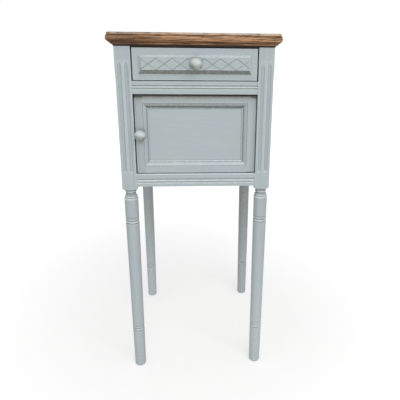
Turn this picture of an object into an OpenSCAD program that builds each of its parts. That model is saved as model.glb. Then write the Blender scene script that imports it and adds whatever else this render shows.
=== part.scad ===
// Bedside pot cupboard. A painted stand on four square legs turned below the case, with one
// drawer over one door and a stained wooden top. Lengths are in millimetres.
// X runs across the front, Y from front to back and Z up. The origin lies on the floor under
// the centre of the whole cupboard, knobs and top included.

/* [Case] */
// Width over the outer faces of the legs
case_w = 342; // [325:1:400]
// Depth over the front and back faces of the legs
case_d = 372; // [345:1:430]
// Height of the opening that the door fills
door_opening_h = 180; // [150:1:230]
// Height of the opening that the drawer fills
drawer_opening_h = 71; // [68:1:90]

/* [Top] */
// Thickness of the top board
top_th = 28; // [27:0.5:36]
// How far the top reaches past the legs, at the front and at each side
top_overhang = 13.5; // [13:0.5:20]
// Height of the plain lip along the upper edge
lip_h = 4.6; // [3.6:0.1:5.2]
// How far the lip stands back from the nose of the moulding
lip_in = 2.2; // [1.5:0.1:3.2]
// Depth of the thin quirk cut under the lip
quirk_in = 1.3; // [1:0.1:2.5]
// Radius of the nose
nose_r = 8; // [7:0.1:8.5]
// Radius of the small bead under the nose
bead_r = 1.5; // [1.2:0.1:2]
// How far the underside of the moulding stands back from the nose
moulding_in = 13; // [12.2:0.1:14]

/* [Legs] */
// Side of the square leg
leg_sq = 34; // [33:0.5:37]
// Height of the turned part, from the floor
turned_h = 498; // [420:1:560]
// Length of square leg left below the bottom rail
block_below_rail = 8; // [7.5:0.5:16]
// Radius of the rounded shoulder where the square turns round
shoulder_r = 7; // [5:0.5:7.5]
// Radius of the neck under the square
neck_r = 12.4; // [11:0.1:14]
// Radius of the collar between the two necks
collar_r = 13.4; // [13:0.1:14.4]
// Radius of the drum under the neck
drum_r = 16.3; // [15.6:0.1:16.5]
// Length of the drum, from its top edge to its first groove
drum_h = 55; // [40:1:70]
// Radius of the shaft below the upper ring
shaft_top_r = 16; // [15:0.1:16.4]
// Radius of the shaft above the lower ring
shaft_low_r = 14.7; // [13.5:0.1:15.5]
// Radius of the foot at the floor, before its edge is rounded
foot_r = 13.9; // [13:0.1:15]
// Radius of the rounded edge under the foot
foot_edge_r = 4.5; // [2:0.5:6]
// Height of the lower ring's middle groove, from the floor
lower_ring_z = 118; // [60:1:180]
// Distance between the grooves of a ring
ring_pitch = 6.6; // [5:0.1:8]
// Depth of the grooves of a ring
ring_cut = 1.7; // [1:0.1:2.2]

/* [Flutes] */
// Width of a flute in the front of a leg
flute_w = 9.3; // [7:0.1:10]
// Depth of a flute
flute_cut = 2.4; // [1.5:0.1:3]
// Distance between the two flutes of a leg
flute_pitch = 14.7; // [13:0.1:16]
// Plain leg above the flutes
flute_top_gap = 30; // [20:1:60]
// Plain leg between the turning and the flutes
flute_low_gap = 42; // [30:1:80]
// Length of the pointed upper end of a flute
flute_point = 10; // [6:1:20]

/* [Rails] */
// Thickness of the rails
rail_th = 20; // [18:0.5:22]
// How far the rails stand back from the faces of the legs
rail_setback = 1.5; // [1:0.1:2]
// Height of the rails under the door, the sides and the back
bottom_rail_h = 31; // [28:1:45]
// Height of the rail between the drawer and the door
drawer_rail_h = 29; // [26:1:40]
// Depth of the rail between the drawer and the door
drawer_rail_d = 30; // [26:1:32]
// Height of the top rails of the sides and the back
top_rail_h = 40; // [30:1:50]
// Depth of the flat rail behind the top of the drawer front
front_top_rail_d = 30; // [26:1:40]
// Thickness of that flat rail and of the two kickers
kicker_th = 14; // [12:0.5:15]
// Depth of the two V grooves along the front rails
reed_cut = 2.2; // [1.4:0.1:2.6]
// Distance between those grooves
reed_pitch = 6.4; // [5.8:0.1:8]
// Thickness of a rail's tenon
tenon_th = 8; // [6:0.5:9]
// Length of a rail's tenon
tenon_len = 15; // [12:0.5:15.5]
// Shoulder above and below a tenon
tenon_shoulder = 4; // [2:0.5:6]

/* [Panels] */
// Thickness of the side panels
side_panel_th = 8; // [6:0.5:9]
// Thickness of the back panel
back_panel_th = 5; // [4:0.5:8]
// Depth of the grooves that hold the panels
panel_groove = 6; // [4:0.5:8]
// Thickness of the cupboard floor
floor_th = 10; // [8:0.5:14]
// Thickness of the dust board under the drawer
dust_th = 5; // [4:0.5:7]
// Section of the cleats under the floor
cleat_sq = 12; // [10:1:16]

/* [Drawer supports] */
// Width of a runner inside the legs
runner_w = 24; // [18:1:32]
// Height of a runner
runner_h = 16; // [13:0.5:20]
// Height of the guide beside the drawer
guide_h = 20; // [14:1:30]
// Width of a kicker inside the legs
kicker_w = 20; // [18:1:30]
// Height of the two drawer stops
stop_h = 6; // [4:0.5:7]
// Width of a drawer stop
stop_w = 20; // [14:1:30]
// Distance of a drawer stop from the middle of the cupboard
stop_x = 90; // [60:1:100]

/* [Drawer] */
// Gap at each side of the drawer front
drawer_side_gap = 2.2; // [1.5:0.1:3]
// Gap over the drawer front
drawer_top_gap = 3; // [2:0.1:4]
// Gap under the drawer front
drawer_low_gap = 1.5; // [1:0.1:3]
// How far the drawer front stands back from the faces of the legs
drawer_setback = 1; // [0.5:0.1:2]
// Thickness of the drawer front
drawer_front_th = 18; // [16:0.5:18]
// Thickness of the drawer sides
drawer_side_th = 10; // [9:0.5:13]
// Height of the drawer sides
drawer_side_h = 52; // [48:1:53]
// Thickness of the drawer back
drawer_back_th = 10; // [9:0.5:13]
// Height of the drawer back
drawer_back_h = 35; // [30:1:36]
// Thickness of the drawer bottom
drawer_bottom_th = 5; // [4:0.5:6]
// Height of the drawer bottom above the lower edge of the sides
drawer_bottom_lift = 10; // [8:0.5:12]
// Depth of the grooves that hold the drawer bottom
drawer_groove = 5; // [4:0.5:6]
// Length of the dovetails let into the drawer front
front_tail_len = 11; // [9:0.5:13]
// Room left behind the closed drawer
drawer_back_room = 24; // [10:1:60]
// Number of dovetails at each corner
tail_count = 2; // [2:1:3]

/* [Plaque] */
// Thickness of the raised plaque on the drawer front
plaque_th = 4; // [3:0.5:6]
// Plain drawer front beside the plaque
plaque_side_margin = 13.3; // [8:0.1:30]
// Plain drawer front above and below the plaque
plaque_end_margin = 13.2; // [10:0.1:16]
// Width of the bevel around the plaque
plaque_bevel = 5.8; // [4:0.1:7]
// Number of crosses in the lattice
cross_count = 7; // [5:1:8]
// Distance of the first cross from the left end of the field
cross_first = 15.2; // [9:0.1:18]
// Distance of the last cross from the right end of the field
cross_last = 10.4; // [9:0.1:18]
// Depth of the incised lines
incised_cut = 1; // [0.6:0.1:1.4]

/* [Door] */
// Gap around the door
door_gap = 1.7; // [1.2:0.1:2.5]
// How far the door stands back from the faces of the legs
door_setback = 6; // [4:0.5:6.5]
// Thickness of the door frame
door_th = 18; // [17:0.5:18]
// Width of the door stiles
door_stile_w = 21.5; // [20:0.5:30]
// Width of the door rails
door_rail_w = 17.8; // [16:0.1:26]
// Thickness of the door panel
door_panel_th = 5; // [4:0.5:6]
// How far the door panel stands back from the frame
door_panel_in = 7; // [6:0.5:8]
// Depth of the grooves that hold the door panel
door_groove = 6; // [4:0.5:7]
// Length of the tenons of the door rails
door_tenon_len = 14; // [10:0.5:15]
// Width of the moulding planted around the door panel
moulding_w = 10.5; // [9:0.5:12]
// How far the moulding stands below the face of the door frame
moulding_drop = 0.8; // [0.4:0.1:1.5]

/* [Knobs] */
// Diameter of a knob's ball
knob_d = 25; // [22:0.5:30]
// Length of a knob from its foot to its front
knob_len = 27; // [25:0.5:34]
// Diameter of a knob's foot
knob_foot_d = 14; // [12:0.5:16]
// Diameter of a knob's neck
knob_neck_d = 10; // [9:0.5:11]

/* [Hardware] */
// Distance of the door's pivot from its front face and from its edge
pivot_inset = 5.5; // [5.5:0.1:6.5]
// Radius of the pivot pins
pivot_pin_r = 2; // [1.6:0.1:2.2]
// Radial play of the pins in their plates
pivot_play = 0.05; // [0.03:0.01:0.08]
// How deep a pin reaches into the door
pivot_reach = 7; // [5:0.5:9]
// Thickness of the pivot plates
plate_th = 1.6; // [1.2:0.1:2]
// Shank radius of the wood screws
screw_r = 1.9; // [1.6:0.1:2]
// Height of the magnetic catch
catch_h = 36; // [32:1:44]
// Width of the magnetic catch
catch_w = 12; // [10:0.5:14]
// Distance of the catch from the top of the door
catch_drop = 24; // [15:1:60]

/* [Hidden] */
$fn = 48;

paint = "#a9b6b7";
knob_paint = "#c3cccd";
stain = "#7b5a3d";
bare_wood = "#c8a878";
steel = "#9c9c9c";
dark_case = "#4b3a2c";

// Clearances and small allowances
cut_over = 1;            // how far a cut runs past the face it opens on, and a tenon into its own piece
glue_room = 1;           // mortise depth beyond its tenon
panel_play = 0.5;        // room for a panel to move in its groove
slide_play = 0.2;        // drawer sides above their runners
guide_play = 0.7;        // drawer sides beside their guides
stop_play = 0.3;         // closed drawer front before its stops
screw_play = 0.1;        // screw shanks in their holes
slot_w = 0.8;            // slot across a screw's head
slot_cut = 0.7;
plate_play = 0.2;        // door above the collar of its lower pivot
catch_play = 0.5;        // door before the magnetic catch
rail_play = 1;           // drawer front before the flat rail behind it
tongue_in = 4;           // leg left behind the tongue of the flat rail
dust_reach = 5;          // how far the dust board reaches into its grooves

// Height of each level, from the floor up
bottom_rail_z = turned_h + block_below_rail;
door_z = bottom_rail_z + bottom_rail_h;
drawer_rail_z = door_z + door_opening_h;
drawer_z = drawer_rail_z + drawer_rail_h;
case_h = drawer_z + drawer_opening_h;
top_rail_z = case_h - top_rail_h;
kicker_z = case_h - kicker_th;

// Plan of the case. The knobs reach furthest forward and the back legs furthest back.
front_reach = max(plaque_th + knob_len - drawer_setback, top_overhang);
front_y = -(case_d - front_reach) / 2;
back_y = front_y + case_d;
half_w = case_w / 2;
leg_in_x = half_w - leg_sq;
leg_x = half_w - leg_sq / 2;
front_leg_back_y = front_y + leg_sq;
back_leg_front_y = back_y - leg_sq;
rail_in = rail_setback + rail_th;
side_in_x = half_w - rail_in;
rail_mid = rail_setback + rail_th / 2;
drawer_rail_back_y = front_y + rail_setback + drawer_rail_d;

// Drawer
drawer_y = front_y + drawer_setback;
drawer_x = leg_in_x - drawer_side_gap;
drawer_in_x = drawer_x - drawer_side_th;
drawer_front_z = [drawer_z + drawer_low_gap, case_h - drawer_top_gap];
drawer_front_back_y = drawer_y + drawer_front_th;
drawer_side_z = drawer_z + slide_play;
drawer_bottom_z = drawer_side_z + drawer_bottom_lift;
drawer_back_z = drawer_bottom_z + drawer_bottom_th;
drawer_end_y = back_y - rail_in - drawer_back_room;
plaque_x = drawer_x - plaque_side_margin;
plaque_z = [drawer_front_z[0] + plaque_end_margin, drawer_front_z[1] - plaque_end_margin];
front_top_rail_y = drawer_front_back_y + rail_play;
front_top_rail_back_y = front_top_rail_y + front_top_rail_d;

// Door
door_x = leg_in_x - door_gap;
door_low_z = door_z + door_gap;
door_high_z = drawer_rail_z - door_gap;
door_y = front_y + door_setback;
door_back_y = door_y + door_th;
door_in_x = door_x - door_stile_w;
door_in_z = [door_low_z + door_rail_w, door_high_z - door_rail_w];
door_panel_y = door_y + door_panel_in;
pivot_x = door_x - pivot_inset;
pivot_y = door_y + pivot_inset;
knob_x = -(door_x - door_stile_w / 2);
knob_z = (door_low_z + door_high_z) / 2;
plate_margin = 0.2;      // plate corners inside the rounded edge of the door
plate_half = (pivot_inset - plate_margin) / sqrt(2);
plate_len = pivot_x - door_in_x - 2;
door_tenon_shoulder = plate_th + 1;
catch_z = door_high_z - catch_drop - catch_h;
catch_y = [door_back_y + catch_play, front_leg_back_y];

// A box from one corner to the other, given as a range along each axis
module span(x, y, z) {
    translate([x[0], y[0], z[0]]) cube([x[1] - x[0], y[1] - y[0], z[1] - z[0]]);
}

// Points along an arc about [cx, cy], from angle a0 to angle a1
function arc(cx, cy, r, a0, a1, steps = 6) =
    [for (i = [0:steps]) let (a = a0 + (a1 - a0) * i / steps) [cx + r * cos(a), cy + r * sin(a)]];

// A countersunk nail along +Z, its head flush at z = 0
module nail(shank_r, length, head_r) {
    cylinder(r1 = head_r, r2 = shank_r, h = head_r - shank_r);
    cylinder(r = shank_r, h = length);
}

// A countersunk wood screw, with a slot across its head
module screw(shank_r, length, head_r) {
    difference() {
        nail(shank_r, length, head_r);
        cube([3 * head_r, slot_w, 2 * slot_cut], center = true);
    }
}

// The hole that a nail or a screw fills
module screw_hole(shank_r, length, head_r) {
    nail(shank_r + screw_play, length + screw_play, head_r + screw_play);
    translate([0, 0, -cut_over]) cylinder(r = head_r + screw_play, h = cut_over + screw_play / 2);
}

// A V groove along X, centred on a face that looks towards -Y
module v_groove(length, depth) {
    side = depth * sqrt(2);
    rotate([45, 0, 0]) cube([length, side, side], center = true);
}

// ---- Top ----

// One moulded edge, as [distance in from the nose, height]: lip, quirk, nose, slope, bead, fillet
function edge_profile() = let (
    arris = 3.4,             // rounding of the upper edge
    quirk_h = 0.7,
    nose_above = 40,         // turn of the nose above its widest point, in degrees
    nose_below = 45,         // and below it, where the slope goes on
    fillet_h = 2.4,          // plain edge under the bead
    ledge = [2.8, 0.8],      // from the end of the slope in and down to the bead
    nose_z = top_th - lip_h - quirk_h - nose_r * sin(nose_above),
    bead_over = 0.7,         // how far the bead's middle stands before its radius behind the fillet
    bead_in = moulding_in - bead_r - bead_over,
    bead_z = fillet_h + bead_r
) concat(
    arc(lip_in + arris, top_th - arris, arris, 90, 180, 6),
    [[lip_in, top_th - lip_h], [lip_in + quirk_in, top_th - lip_h - quirk_h / 2]],
    arc(nose_r, nose_z, nose_r, 180 - nose_above, 180 + nose_below, 12),
    [[bead_in - ledge[0], bead_z + bead_r + ledge[1]]],
    arc(bead_in, bead_z, bead_r, 90, 270, 6),
    [[moulding_in, bead_z - bead_r], [moulding_in, 0]]
);

// Section of the top, moulded at its left edge and either moulded or square at its right edge
module top_section(left, right, right_moulded) {
    edge = edge_profile();
    last = len(edge) - 1;
    mirrored = [for (i = [last:-1:0]) [right - edge[i][0], edge[i][1]]];
    square_edge = [[right, 0], [right, top_th]];
    polygon(concat([for (p = edge) [left + p[0], p[1]]], right_moulded ? mirrored : square_edge));
}

module top_board() {
    half_top = half_w + top_overhang;
    top_front = front_y - top_overhang;
    color(stain) difference() {
        translate([0, 0, case_h]) intersection() {
            translate([0, back_y, 0]) rotate([90, 0, 0])
                linear_extrude(back_y - top_front) top_section(-half_top, half_top, true);
            translate([-half_top, 0, 0]) rotate([90, 0, 90])
                linear_extrude(2 * half_top) top_section(top_front, back_y, false);
        }
        top_screw_places() screw_hole(screw_r, top_screw_len, top_screw_head);
    }
}

// ---- Legs ----

// Distances down the turning from the square: middle of the collar, start and end of the flare,
// lower edge of its lip, groove under the lip and upper end of the drum
collar_drop = 3;
flare_drop = [6.5, 13];
lip_drop = 14.6;
groove_drop = 16;
drum_drop = 16.6;
collar_z = turned_h - collar_drop;
flare_z = [turned_h - flare_drop[0], turned_h - flare_drop[1]];
drum_z = turned_h - drum_drop;
upper_ring_z = drum_z - drum_h - ring_pitch;
collar_edge_r = 1.5;
drum_edge_r = 2.2;
neck_h = 1.2;            // length of the neck over the collar
lower_neck_r = neck_r - 0.4;
flare_r = drum_r - 1.3;
groove_r = drum_r - 2.3;

// A ring of three grooves with two rounded beads between them, its middle groove at height z
function ring(r, z) = let (
    edge_h = [0.4, 1.2],     // the outer grooves open out over this height
    edge_r = r - ring_cut * 0.5,
    fullness = 0.6           // 1 gives round beads, less gives flatter ones and narrower grooves
) concat(
    [[r, z + ring_pitch + edge_h[1]], [edge_r, z + ring_pitch + edge_h[0]]],
    [for (i = [0:16]) [r - ring_cut + ring_cut * pow(abs(sin(22.5 * i)), fullness),
                       z + ring_pitch * (1 - i / 8)]],
    [[edge_r, z - ring_pitch - edge_h[0]], [r, z - ring_pitch - edge_h[1]]]
);

// Half section of a leg. Above the shoulder it is wider than the square, which then cuts it.
function leg_profile() = concat(
    [[0, case_h], [leg_sq, case_h], [leg_sq, turned_h + shoulder_r]],
    arc(leg_sq / 2 + 0.1, turned_h + shoulder_r, shoulder_r, 0, -90, 5),
    [[neck_r, turned_h], [neck_r, turned_h - neck_h]],
    arc(collar_r - collar_edge_r, collar_z, collar_edge_r, 70, -70, 6),
    [[lower_neck_r, collar_z - collar_edge_r - 0.4]],
    [for (i = [0:6]) [lower_neck_r + (flare_r - lower_neck_r) * (1 - cos(15 * i)),
                      flare_z[0] + (flare_z[1] - flare_z[0]) * sin(15 * i)]],
    [[flare_r, turned_h - lip_drop], [groove_r, turned_h - groove_drop]],
    arc(drum_r - drum_edge_r, drum_z - drum_edge_r, drum_edge_r, 60, 0, 4),
    ring(shaft_top_r, upper_ring_z),
    ring(shaft_low_r, lower_ring_z),
    arc(foot_r - foot_edge_r, foot_edge_r, foot_edge_r, 0, -90, 6),
    [[0, 0]]
);

// A leg, square above and turned below
module leg(x, y) {
    translate([x, y, 0]) intersection() {
        translate([-leg_sq / 2, -leg_sq / 2, 0]) cube([leg_sq, leg_sq, case_h]);
        rotate_extrude($fn = 64) polygon(leg_profile());
    }
}

// One flute, its axis in front of the face it is cut in: round below, pointed above
module flute() {
    r = (flute_w * flute_w / 4 + flute_cut * flute_cut) / (2 * flute_cut);
    low = turned_h + flute_low_gap + flute_w / 2;
    high = case_h - flute_top_gap - flute_point;
    translate([0, flute_cut - r, 0]) {
        translate([0, 0, low]) sphere(r = r);
        translate([0, 0, low]) cylinder(r = r, h = high - low);
        translate([0, 0, high]) cylinder(r1 = r, r2 = r - flute_cut, h = flute_point);
    }
}

// Tenon of a side rail at height z, at both ends; extra lengthens it into a mortise
module side_tenons(z, h, extra = 0) {
    x = half_w - rail_mid;
    reach = tenon_len + extra;
    for (y = [[front_leg_back_y - reach, front_leg_back_y + cut_over],
              [back_leg_front_y - cut_over, back_leg_front_y + reach]])
        span([-x - tenon_th / 2, -x + tenon_th / 2], y, [z + tenon_shoulder, z + h - tenon_shoulder]);
}

// Tenon of a front or back rail at its left end, in the plane y
module cross_tenon(y, z, h, extra = 0) {
    span([-leg_in_x - tenon_len - extra, -leg_in_x + cut_over], [y - tenon_th / 2, y + tenon_th / 2],
         [z + tenon_shoulder, z + h - tenon_shoulder]);
}

// Tongue of the flat front rail, in the top of the front leg
module top_rail_tongue(extra = 0) {
    y = front_leg_back_y - tongue_in;
    span([-leg_in_x - tenon_len - extra, -leg_in_x + cut_over], [y - tenon_th, y],
         [kicker_z + tenon_shoulder, case_h + extra]);
}

// Groove in a leg for a panel: a slot across the face it opens on
module side_panel_slot() {
    x = half_w - rail_mid;
    span([-x - side_panel_th / 2, -x + side_panel_th / 2],
         [front_leg_back_y - panel_groove, back_leg_front_y + panel_groove],
         [door_z - panel_groove, top_rail_z + panel_groove]);
}

module back_panel_slot() {
    y = back_y - rail_mid;
    span([-leg_in_x - panel_groove, leg_in_x + panel_groove],
         [y - back_panel_th / 2, y + back_panel_th / 2],
         [door_z - panel_groove, top_rail_z + panel_groove]);
}

// Everything cut in the left legs for the rails and panel of the side
module side_mortises() {
    side_tenons(top_rail_z, top_rail_h, glue_room);
    side_tenons(bottom_rail_z, bottom_rail_h, glue_room);
    side_panel_slot();
}

// Front leg of the left side, fluted and cut for its rails
module fluted_leg() {
    front_mid = front_y + rail_mid;
    difference() {
        leg(-leg_x, front_y + leg_sq / 2);
        for (side = [-1, 1]) translate([-leg_x + side * flute_pitch / 2, front_y, 0]) flute();
        side_mortises();
        cross_tenon(front_mid, bottom_rail_z, bottom_rail_h, glue_room);
        cross_tenon(front_mid, drawer_rail_z, drawer_rail_h, glue_room);
        top_rail_tongue(glue_room);
    }
}

module front_left_leg() {
    color(paint) difference() {
        fluted_leg();
        catch_screw_places() screw_hole(catch_screw_r, catch_screw_len, catch_screw_head);
    }
}

module front_right_leg() {
    color(paint) mirror([1, 0, 0]) fluted_leg();
}

module back_left_leg() {
    back_mid = back_y - rail_mid;
    color(paint) difference() {
        leg(-leg_x, back_y - leg_sq / 2);
        side_mortises();
        back_panel_slot();
        cross_tenon(back_mid, bottom_rail_z, bottom_rail_h, glue_room);
        cross_tenon(back_mid, top_rail_z, top_rail_h, glue_room);
    }
}

module back_right_leg() {
    mirror([1, 0, 0]) back_left_leg();
}

// ---- Rails ----

// A rail between two legs, from face y0 to face y1, with a tenon at each end
module cross_rail(y0, y1, tenon_y, z, h) {
    span([-leg_in_x, leg_in_x], [y0, y1], [z, z + h]);
    for (side = [0, 1]) mirror([side, 0, 0]) cross_tenon(tenon_y, z, h);
}

// The pair of V grooves along the face of a front rail
module reeds(z, h) {
    for (side = [-1, 1])
        translate([0, front_y + rail_setback, z + h / 2 + side * reed_pitch / 2])
            v_groove(2 * leg_in_x + cut_over, reed_cut);
}

module front_bottom_rail() {
    y = front_y + rail_setback;
    color(paint) difference() {
        cross_rail(y, y + rail_th, front_y + rail_mid, bottom_rail_z, bottom_rail_h);
        reeds(bottom_rail_z, bottom_rail_h);
        lower_pin_recess();
    }
}

module drawer_rail() {
    y = front_y + rail_setback;
    color(paint) difference() {
        cross_rail(y, y + drawer_rail_d, front_y + rail_mid, drawer_rail_z, drawer_rail_h);
        reeds(drawer_rail_z, drawer_rail_h);
        upper_pin_recess();
        dust_slot();
    }
}

module front_top_rail() {
    color(bare_wood) difference() {
        union() {
            span([-leg_in_x, leg_in_x], [front_top_rail_y, front_top_rail_back_y], [kicker_z, case_h]);
            for (side = [0, 1]) mirror([side, 0, 0]) top_rail_tongue();
        }
        top_screw_places() screw_hole(screw_r, top_screw_len, top_screw_head);
    }
}

module back_rail(z, h) {
    color(paint) difference() {
        cross_rail(back_y - rail_in, back_y - rail_setback, back_y - rail_mid, z, h);
        back_panel_slot();
    }
}

module back_top_rail() {
    back_rail(top_rail_z, top_rail_h);
}

module back_bottom_rail() {
    back_rail(bottom_rail_z, bottom_rail_h);
}

module side_rail(z, h) {
    color(paint) difference() {
        union() {
            span([-half_w + rail_setback, -side_in_x], [front_leg_back_y, back_leg_front_y], [z, z + h]);
            side_tenons(z, h);
        }
        side_panel_slot();
    }
}

module left_side_top_rail() {
    side_rail(top_rail_z, top_rail_h);
}

module right_side_top_rail() {
    mirror([1, 0, 0]) left_side_top_rail();
}

module left_side_bottom_rail() {
    side_rail(bottom_rail_z, bottom_rail_h);
}

module right_side_bottom_rail() {
    mirror([1, 0, 0]) left_side_bottom_rail();
}

// ---- Panels, floor and dust board ----

module left_side_panel() {
    x = half_w - rail_mid;
    reach = panel_groove - panel_play;
    color(paint)
        span([-x - side_panel_th / 2, -x + side_panel_th / 2],
             [front_leg_back_y - reach, back_leg_front_y + reach],
             [door_z - reach, top_rail_z + reach]);
}

module right_side_panel() {
    mirror([1, 0, 0]) left_side_panel();
}

module back_panel() {
    y = back_y - rail_mid;
    reach = panel_groove - panel_play;
    color(paint)
        span([-leg_in_x - reach, leg_in_x + reach],
             [y - back_panel_th / 2, y + back_panel_th / 2],
             [door_z - reach, top_rail_z + reach]);
}

// The four squares of the legs, for boards that are notched round them
module leg_squares() {
    for (x = [[-half_w, -leg_in_x], [leg_in_x, half_w]],
         y = [[front_y, front_leg_back_y], [back_leg_front_y, back_y]])
        span(x, y, [0, case_h]);
}

module cupboard_floor() {
    color(bare_wood) difference() {
        span([-side_in_x, side_in_x], [front_y + rail_in, back_y - rail_in], [door_z - floor_th, door_z]);
        leg_squares();
    }
}

module left_floor_cleat() {
    color(bare_wood)
        span([-side_in_x, -side_in_x + cleat_sq], [front_leg_back_y, back_leg_front_y],
             [door_z - floor_th - cleat_sq, door_z - floor_th]);
}

module right_floor_cleat() {
    mirror([1, 0, 0]) left_floor_cleat();
}

dust_z = drawer_z - runner_h / 2;

module dust_slot() {
    x = leg_in_x - runner_w + dust_reach;
    span([-x, x], [drawer_rail_back_y - dust_reach, back_y - rail_in + cut_over],
         [dust_z - dust_th / 2, dust_z + dust_th / 2]);
}

module dust_board() {
    x = leg_in_x - runner_w + dust_reach - panel_play;
    color(bare_wood)
        span([-x, x], [drawer_rail_back_y - dust_reach + panel_play, back_y - rail_in],
             [dust_z - dust_th / 2, dust_z + dust_th / 2]);
}

// ---- Drawer supports ----

module left_drawer_runner() {
    color(bare_wood) difference() {
        span([-side_in_x, -leg_in_x + runner_w], [drawer_rail_back_y, back_y - rail_in],
             [drawer_z - runner_h, drawer_z]);
        leg_squares();
        dust_slot();
    }
}

module right_drawer_runner() {
    mirror([1, 0, 0]) left_drawer_runner();
}

module left_drawer_guide() {
    color(bare_wood)
        span([-side_in_x, -drawer_x - guide_play], [front_leg_back_y, back_leg_front_y],
             [drawer_z, drawer_z + guide_h]);
}

module right_drawer_guide() {
    mirror([1, 0, 0]) left_drawer_guide();
}

module left_kicker() {
    color(bare_wood) difference() {
        span([-side_in_x, -leg_in_x + kicker_w], [front_top_rail_back_y, back_y - rail_in],
             [kicker_z, case_h]);
        leg_squares();
        top_screw_places() screw_hole(screw_r, top_screw_len, top_screw_head);
    }
}

module right_kicker() {
    mirror([1, 0, 0]) left_kicker();
}

module drawer_stops() {
    y = drawer_front_back_y + stop_play;
    color(bare_wood)
        for (x = [-stop_x, stop_x])
            span([x - stop_w / 2, x + stop_w / 2], [y, drawer_rail_back_y], [drawer_z, drawer_z + stop_h]);
}

top_screw_head = 3.8;
top_screw_grip = 14;     // length in the top
top_screw_len = kicker_th + top_screw_grip;
top_screw_x = 60;        // front pair, from the middle of the cupboard
top_screw_in = 40;       // side pairs, from the ends of their kicker

// Where the screws go up through the flat rail and the kickers into the top
module top_screw_places() {
    rail_y = front_top_rail_y + front_top_rail_d / 2;
    kicker_x = leg_in_x - kicker_w / 2;
    places = [[top_screw_x, rail_y], [kicker_x, front_top_rail_back_y + top_screw_in],
              [kicker_x, back_leg_front_y - top_screw_in]];
    for (side = [-1, 1], p = places) translate([side * p[0], p[1], kicker_z]) children();
}

module top_screws() {
    color(steel) top_screw_places() screw(screw_r, top_screw_len, top_screw_head);
}

// ---- Door pivots ----

// A plate seen from above, long to the left of the pivot
module plate_outline() {
    translate([pivot_x - plate_len, pivot_y - plate_half])
        square([plate_len + plate_half, 2 * plate_half]);
}

plate_screw_r = 1.4;
plate_screw_len = 11;
plate_screw_head = 2.4;
plate_screw_x = pivot_x - plate_len + 4;
pin_collar_r = pivot_pin_r + 1.4;
pin_hole_play = 0.4;     // pins in the wood of the stile, which they don't touch
pin_hole_room = 1.5;     // and past their ends

module lower_pin_recess() {
    translate([0, 0, door_z - plate_th]) linear_extrude(plate_th + cut_over) plate_outline();
    lower_pin_screw_place() screw_hole(plate_screw_r, plate_screw_len, plate_screw_head);
}

module upper_pin_recess() {
    translate([0, 0, drawer_rail_z - cut_over]) linear_extrude(plate_th + cut_over) plate_outline();
    upper_pin_screw_place() screw_hole(plate_screw_r, plate_screw_len, plate_screw_head);
}

module lower_pin_screw_place() {
    translate([plate_screw_x, pivot_y, door_z]) rotate([180, 0, 0]) children();
}

module upper_pin_screw_place() {
    translate([plate_screw_x, pivot_y, drawer_rail_z]) children();
}

// The lower pin carries the door on its collar, the upper one only guides it
module pivot_pins() {
    pin_len = door_gap + pivot_reach;
    color(steel) {
        difference() {
            union() {
                translate([0, 0, door_z - plate_th]) linear_extrude(plate_th) plate_outline();
                translate([pivot_x, pivot_y, door_z - plate_th]) {
                    cylinder(r = pivot_pin_r, h = plate_th + pin_len);
                    cylinder(r = pin_collar_r, h = plate_th + door_gap - plate_play);
                }
            }
            lower_pin_screw_place() screw_hole(plate_screw_r, plate_screw_len, plate_screw_head);
        }
        difference() {
            union() {
                translate([0, 0, drawer_rail_z]) linear_extrude(plate_th) plate_outline();
                translate([pivot_x, pivot_y, drawer_rail_z - pin_len])
                    cylinder(r = pivot_pin_r, h = plate_th + pin_len);
            }
            upper_pin_screw_place() screw_hole(plate_screw_r, plate_screw_len, plate_screw_head);
        }
    }
}

module pivot_pin_screws() {
    color(steel) {
        lower_pin_screw_place() screw(plate_screw_r, plate_screw_len, plate_screw_head);
        upper_pin_screw_place() screw(plate_screw_r, plate_screw_len, plate_screw_head);
    }
}

// Lower and upper end of the door, each with +Z pointing into the stile
module door_end_places() {
    translate([0, 0, door_low_z]) children();
    translate([0, 0, door_high_z]) mirror([0, 0, 1]) children();
}

module pivot_plates() {
    color(steel) door_end_places() difference() {
        linear_extrude(plate_th) plate_outline();
        translate([pivot_x, pivot_y, -cut_over])
            cylinder(r = pivot_pin_r + pivot_play, h = plate_th + 2 * cut_over);
        translate([plate_screw_x, pivot_y, 0]) screw_hole(plate_screw_r, plate_screw_len, plate_screw_head);
    }
}

module pivot_plate_screws() {
    color(steel) door_end_places() translate([plate_screw_x, pivot_y, 0])
        screw(plate_screw_r, plate_screw_len, plate_screw_head);
}

// ---- Magnetic catch and its striker ----

catch_screw_r = 1.4;
catch_screw_head = 2.6;
catch_screw_len = catch_w + 10;
catch_screw_in = 8;      // from each end of the case

module catch_screw_places() {
    y = (catch_y[0] + catch_y[1]) / 2;
    for (z = [catch_z + catch_screw_in, catch_z + catch_h - catch_screw_in])
        translate([-leg_in_x + catch_w, y, z]) rotate([0, -90, 0]) children();
}

module catch_case() {
    color(dark_case) difference() {
        span([-leg_in_x, -leg_in_x + catch_w], catch_y, [catch_z, catch_z + catch_h]);
        catch_screw_places() screw_hole(catch_screw_r, catch_screw_len, catch_screw_head);
    }
}

module catch_screws() {
    color(steel) catch_screw_places() screw(catch_screw_r, catch_screw_len, catch_screw_head);
}

striker_th = 1;
striker_over = 1;        // how far the striker reaches past the catch
striker_screw_in = 5;    // from each end of the striker
striker_x = [-door_x + 1.5, -leg_in_x + catch_w + striker_over];
striker_z = [catch_z - striker_over, catch_z + catch_h + striker_over];

module striker_screw_places() {
    x = (striker_x[0] + striker_x[1]) / 2;
    for (z = [striker_z[0] + striker_screw_in, striker_z[1] - striker_screw_in])
        translate([x, door_back_y, z]) rotate([90, 0, 0]) children();
}

module striker_plate() {
    color(steel) difference() {
        span(striker_x, [door_back_y - striker_th, door_back_y], striker_z);
        striker_screw_places() screw_hole(plate_screw_r, plate_screw_len, plate_screw_head);
    }
}

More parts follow.
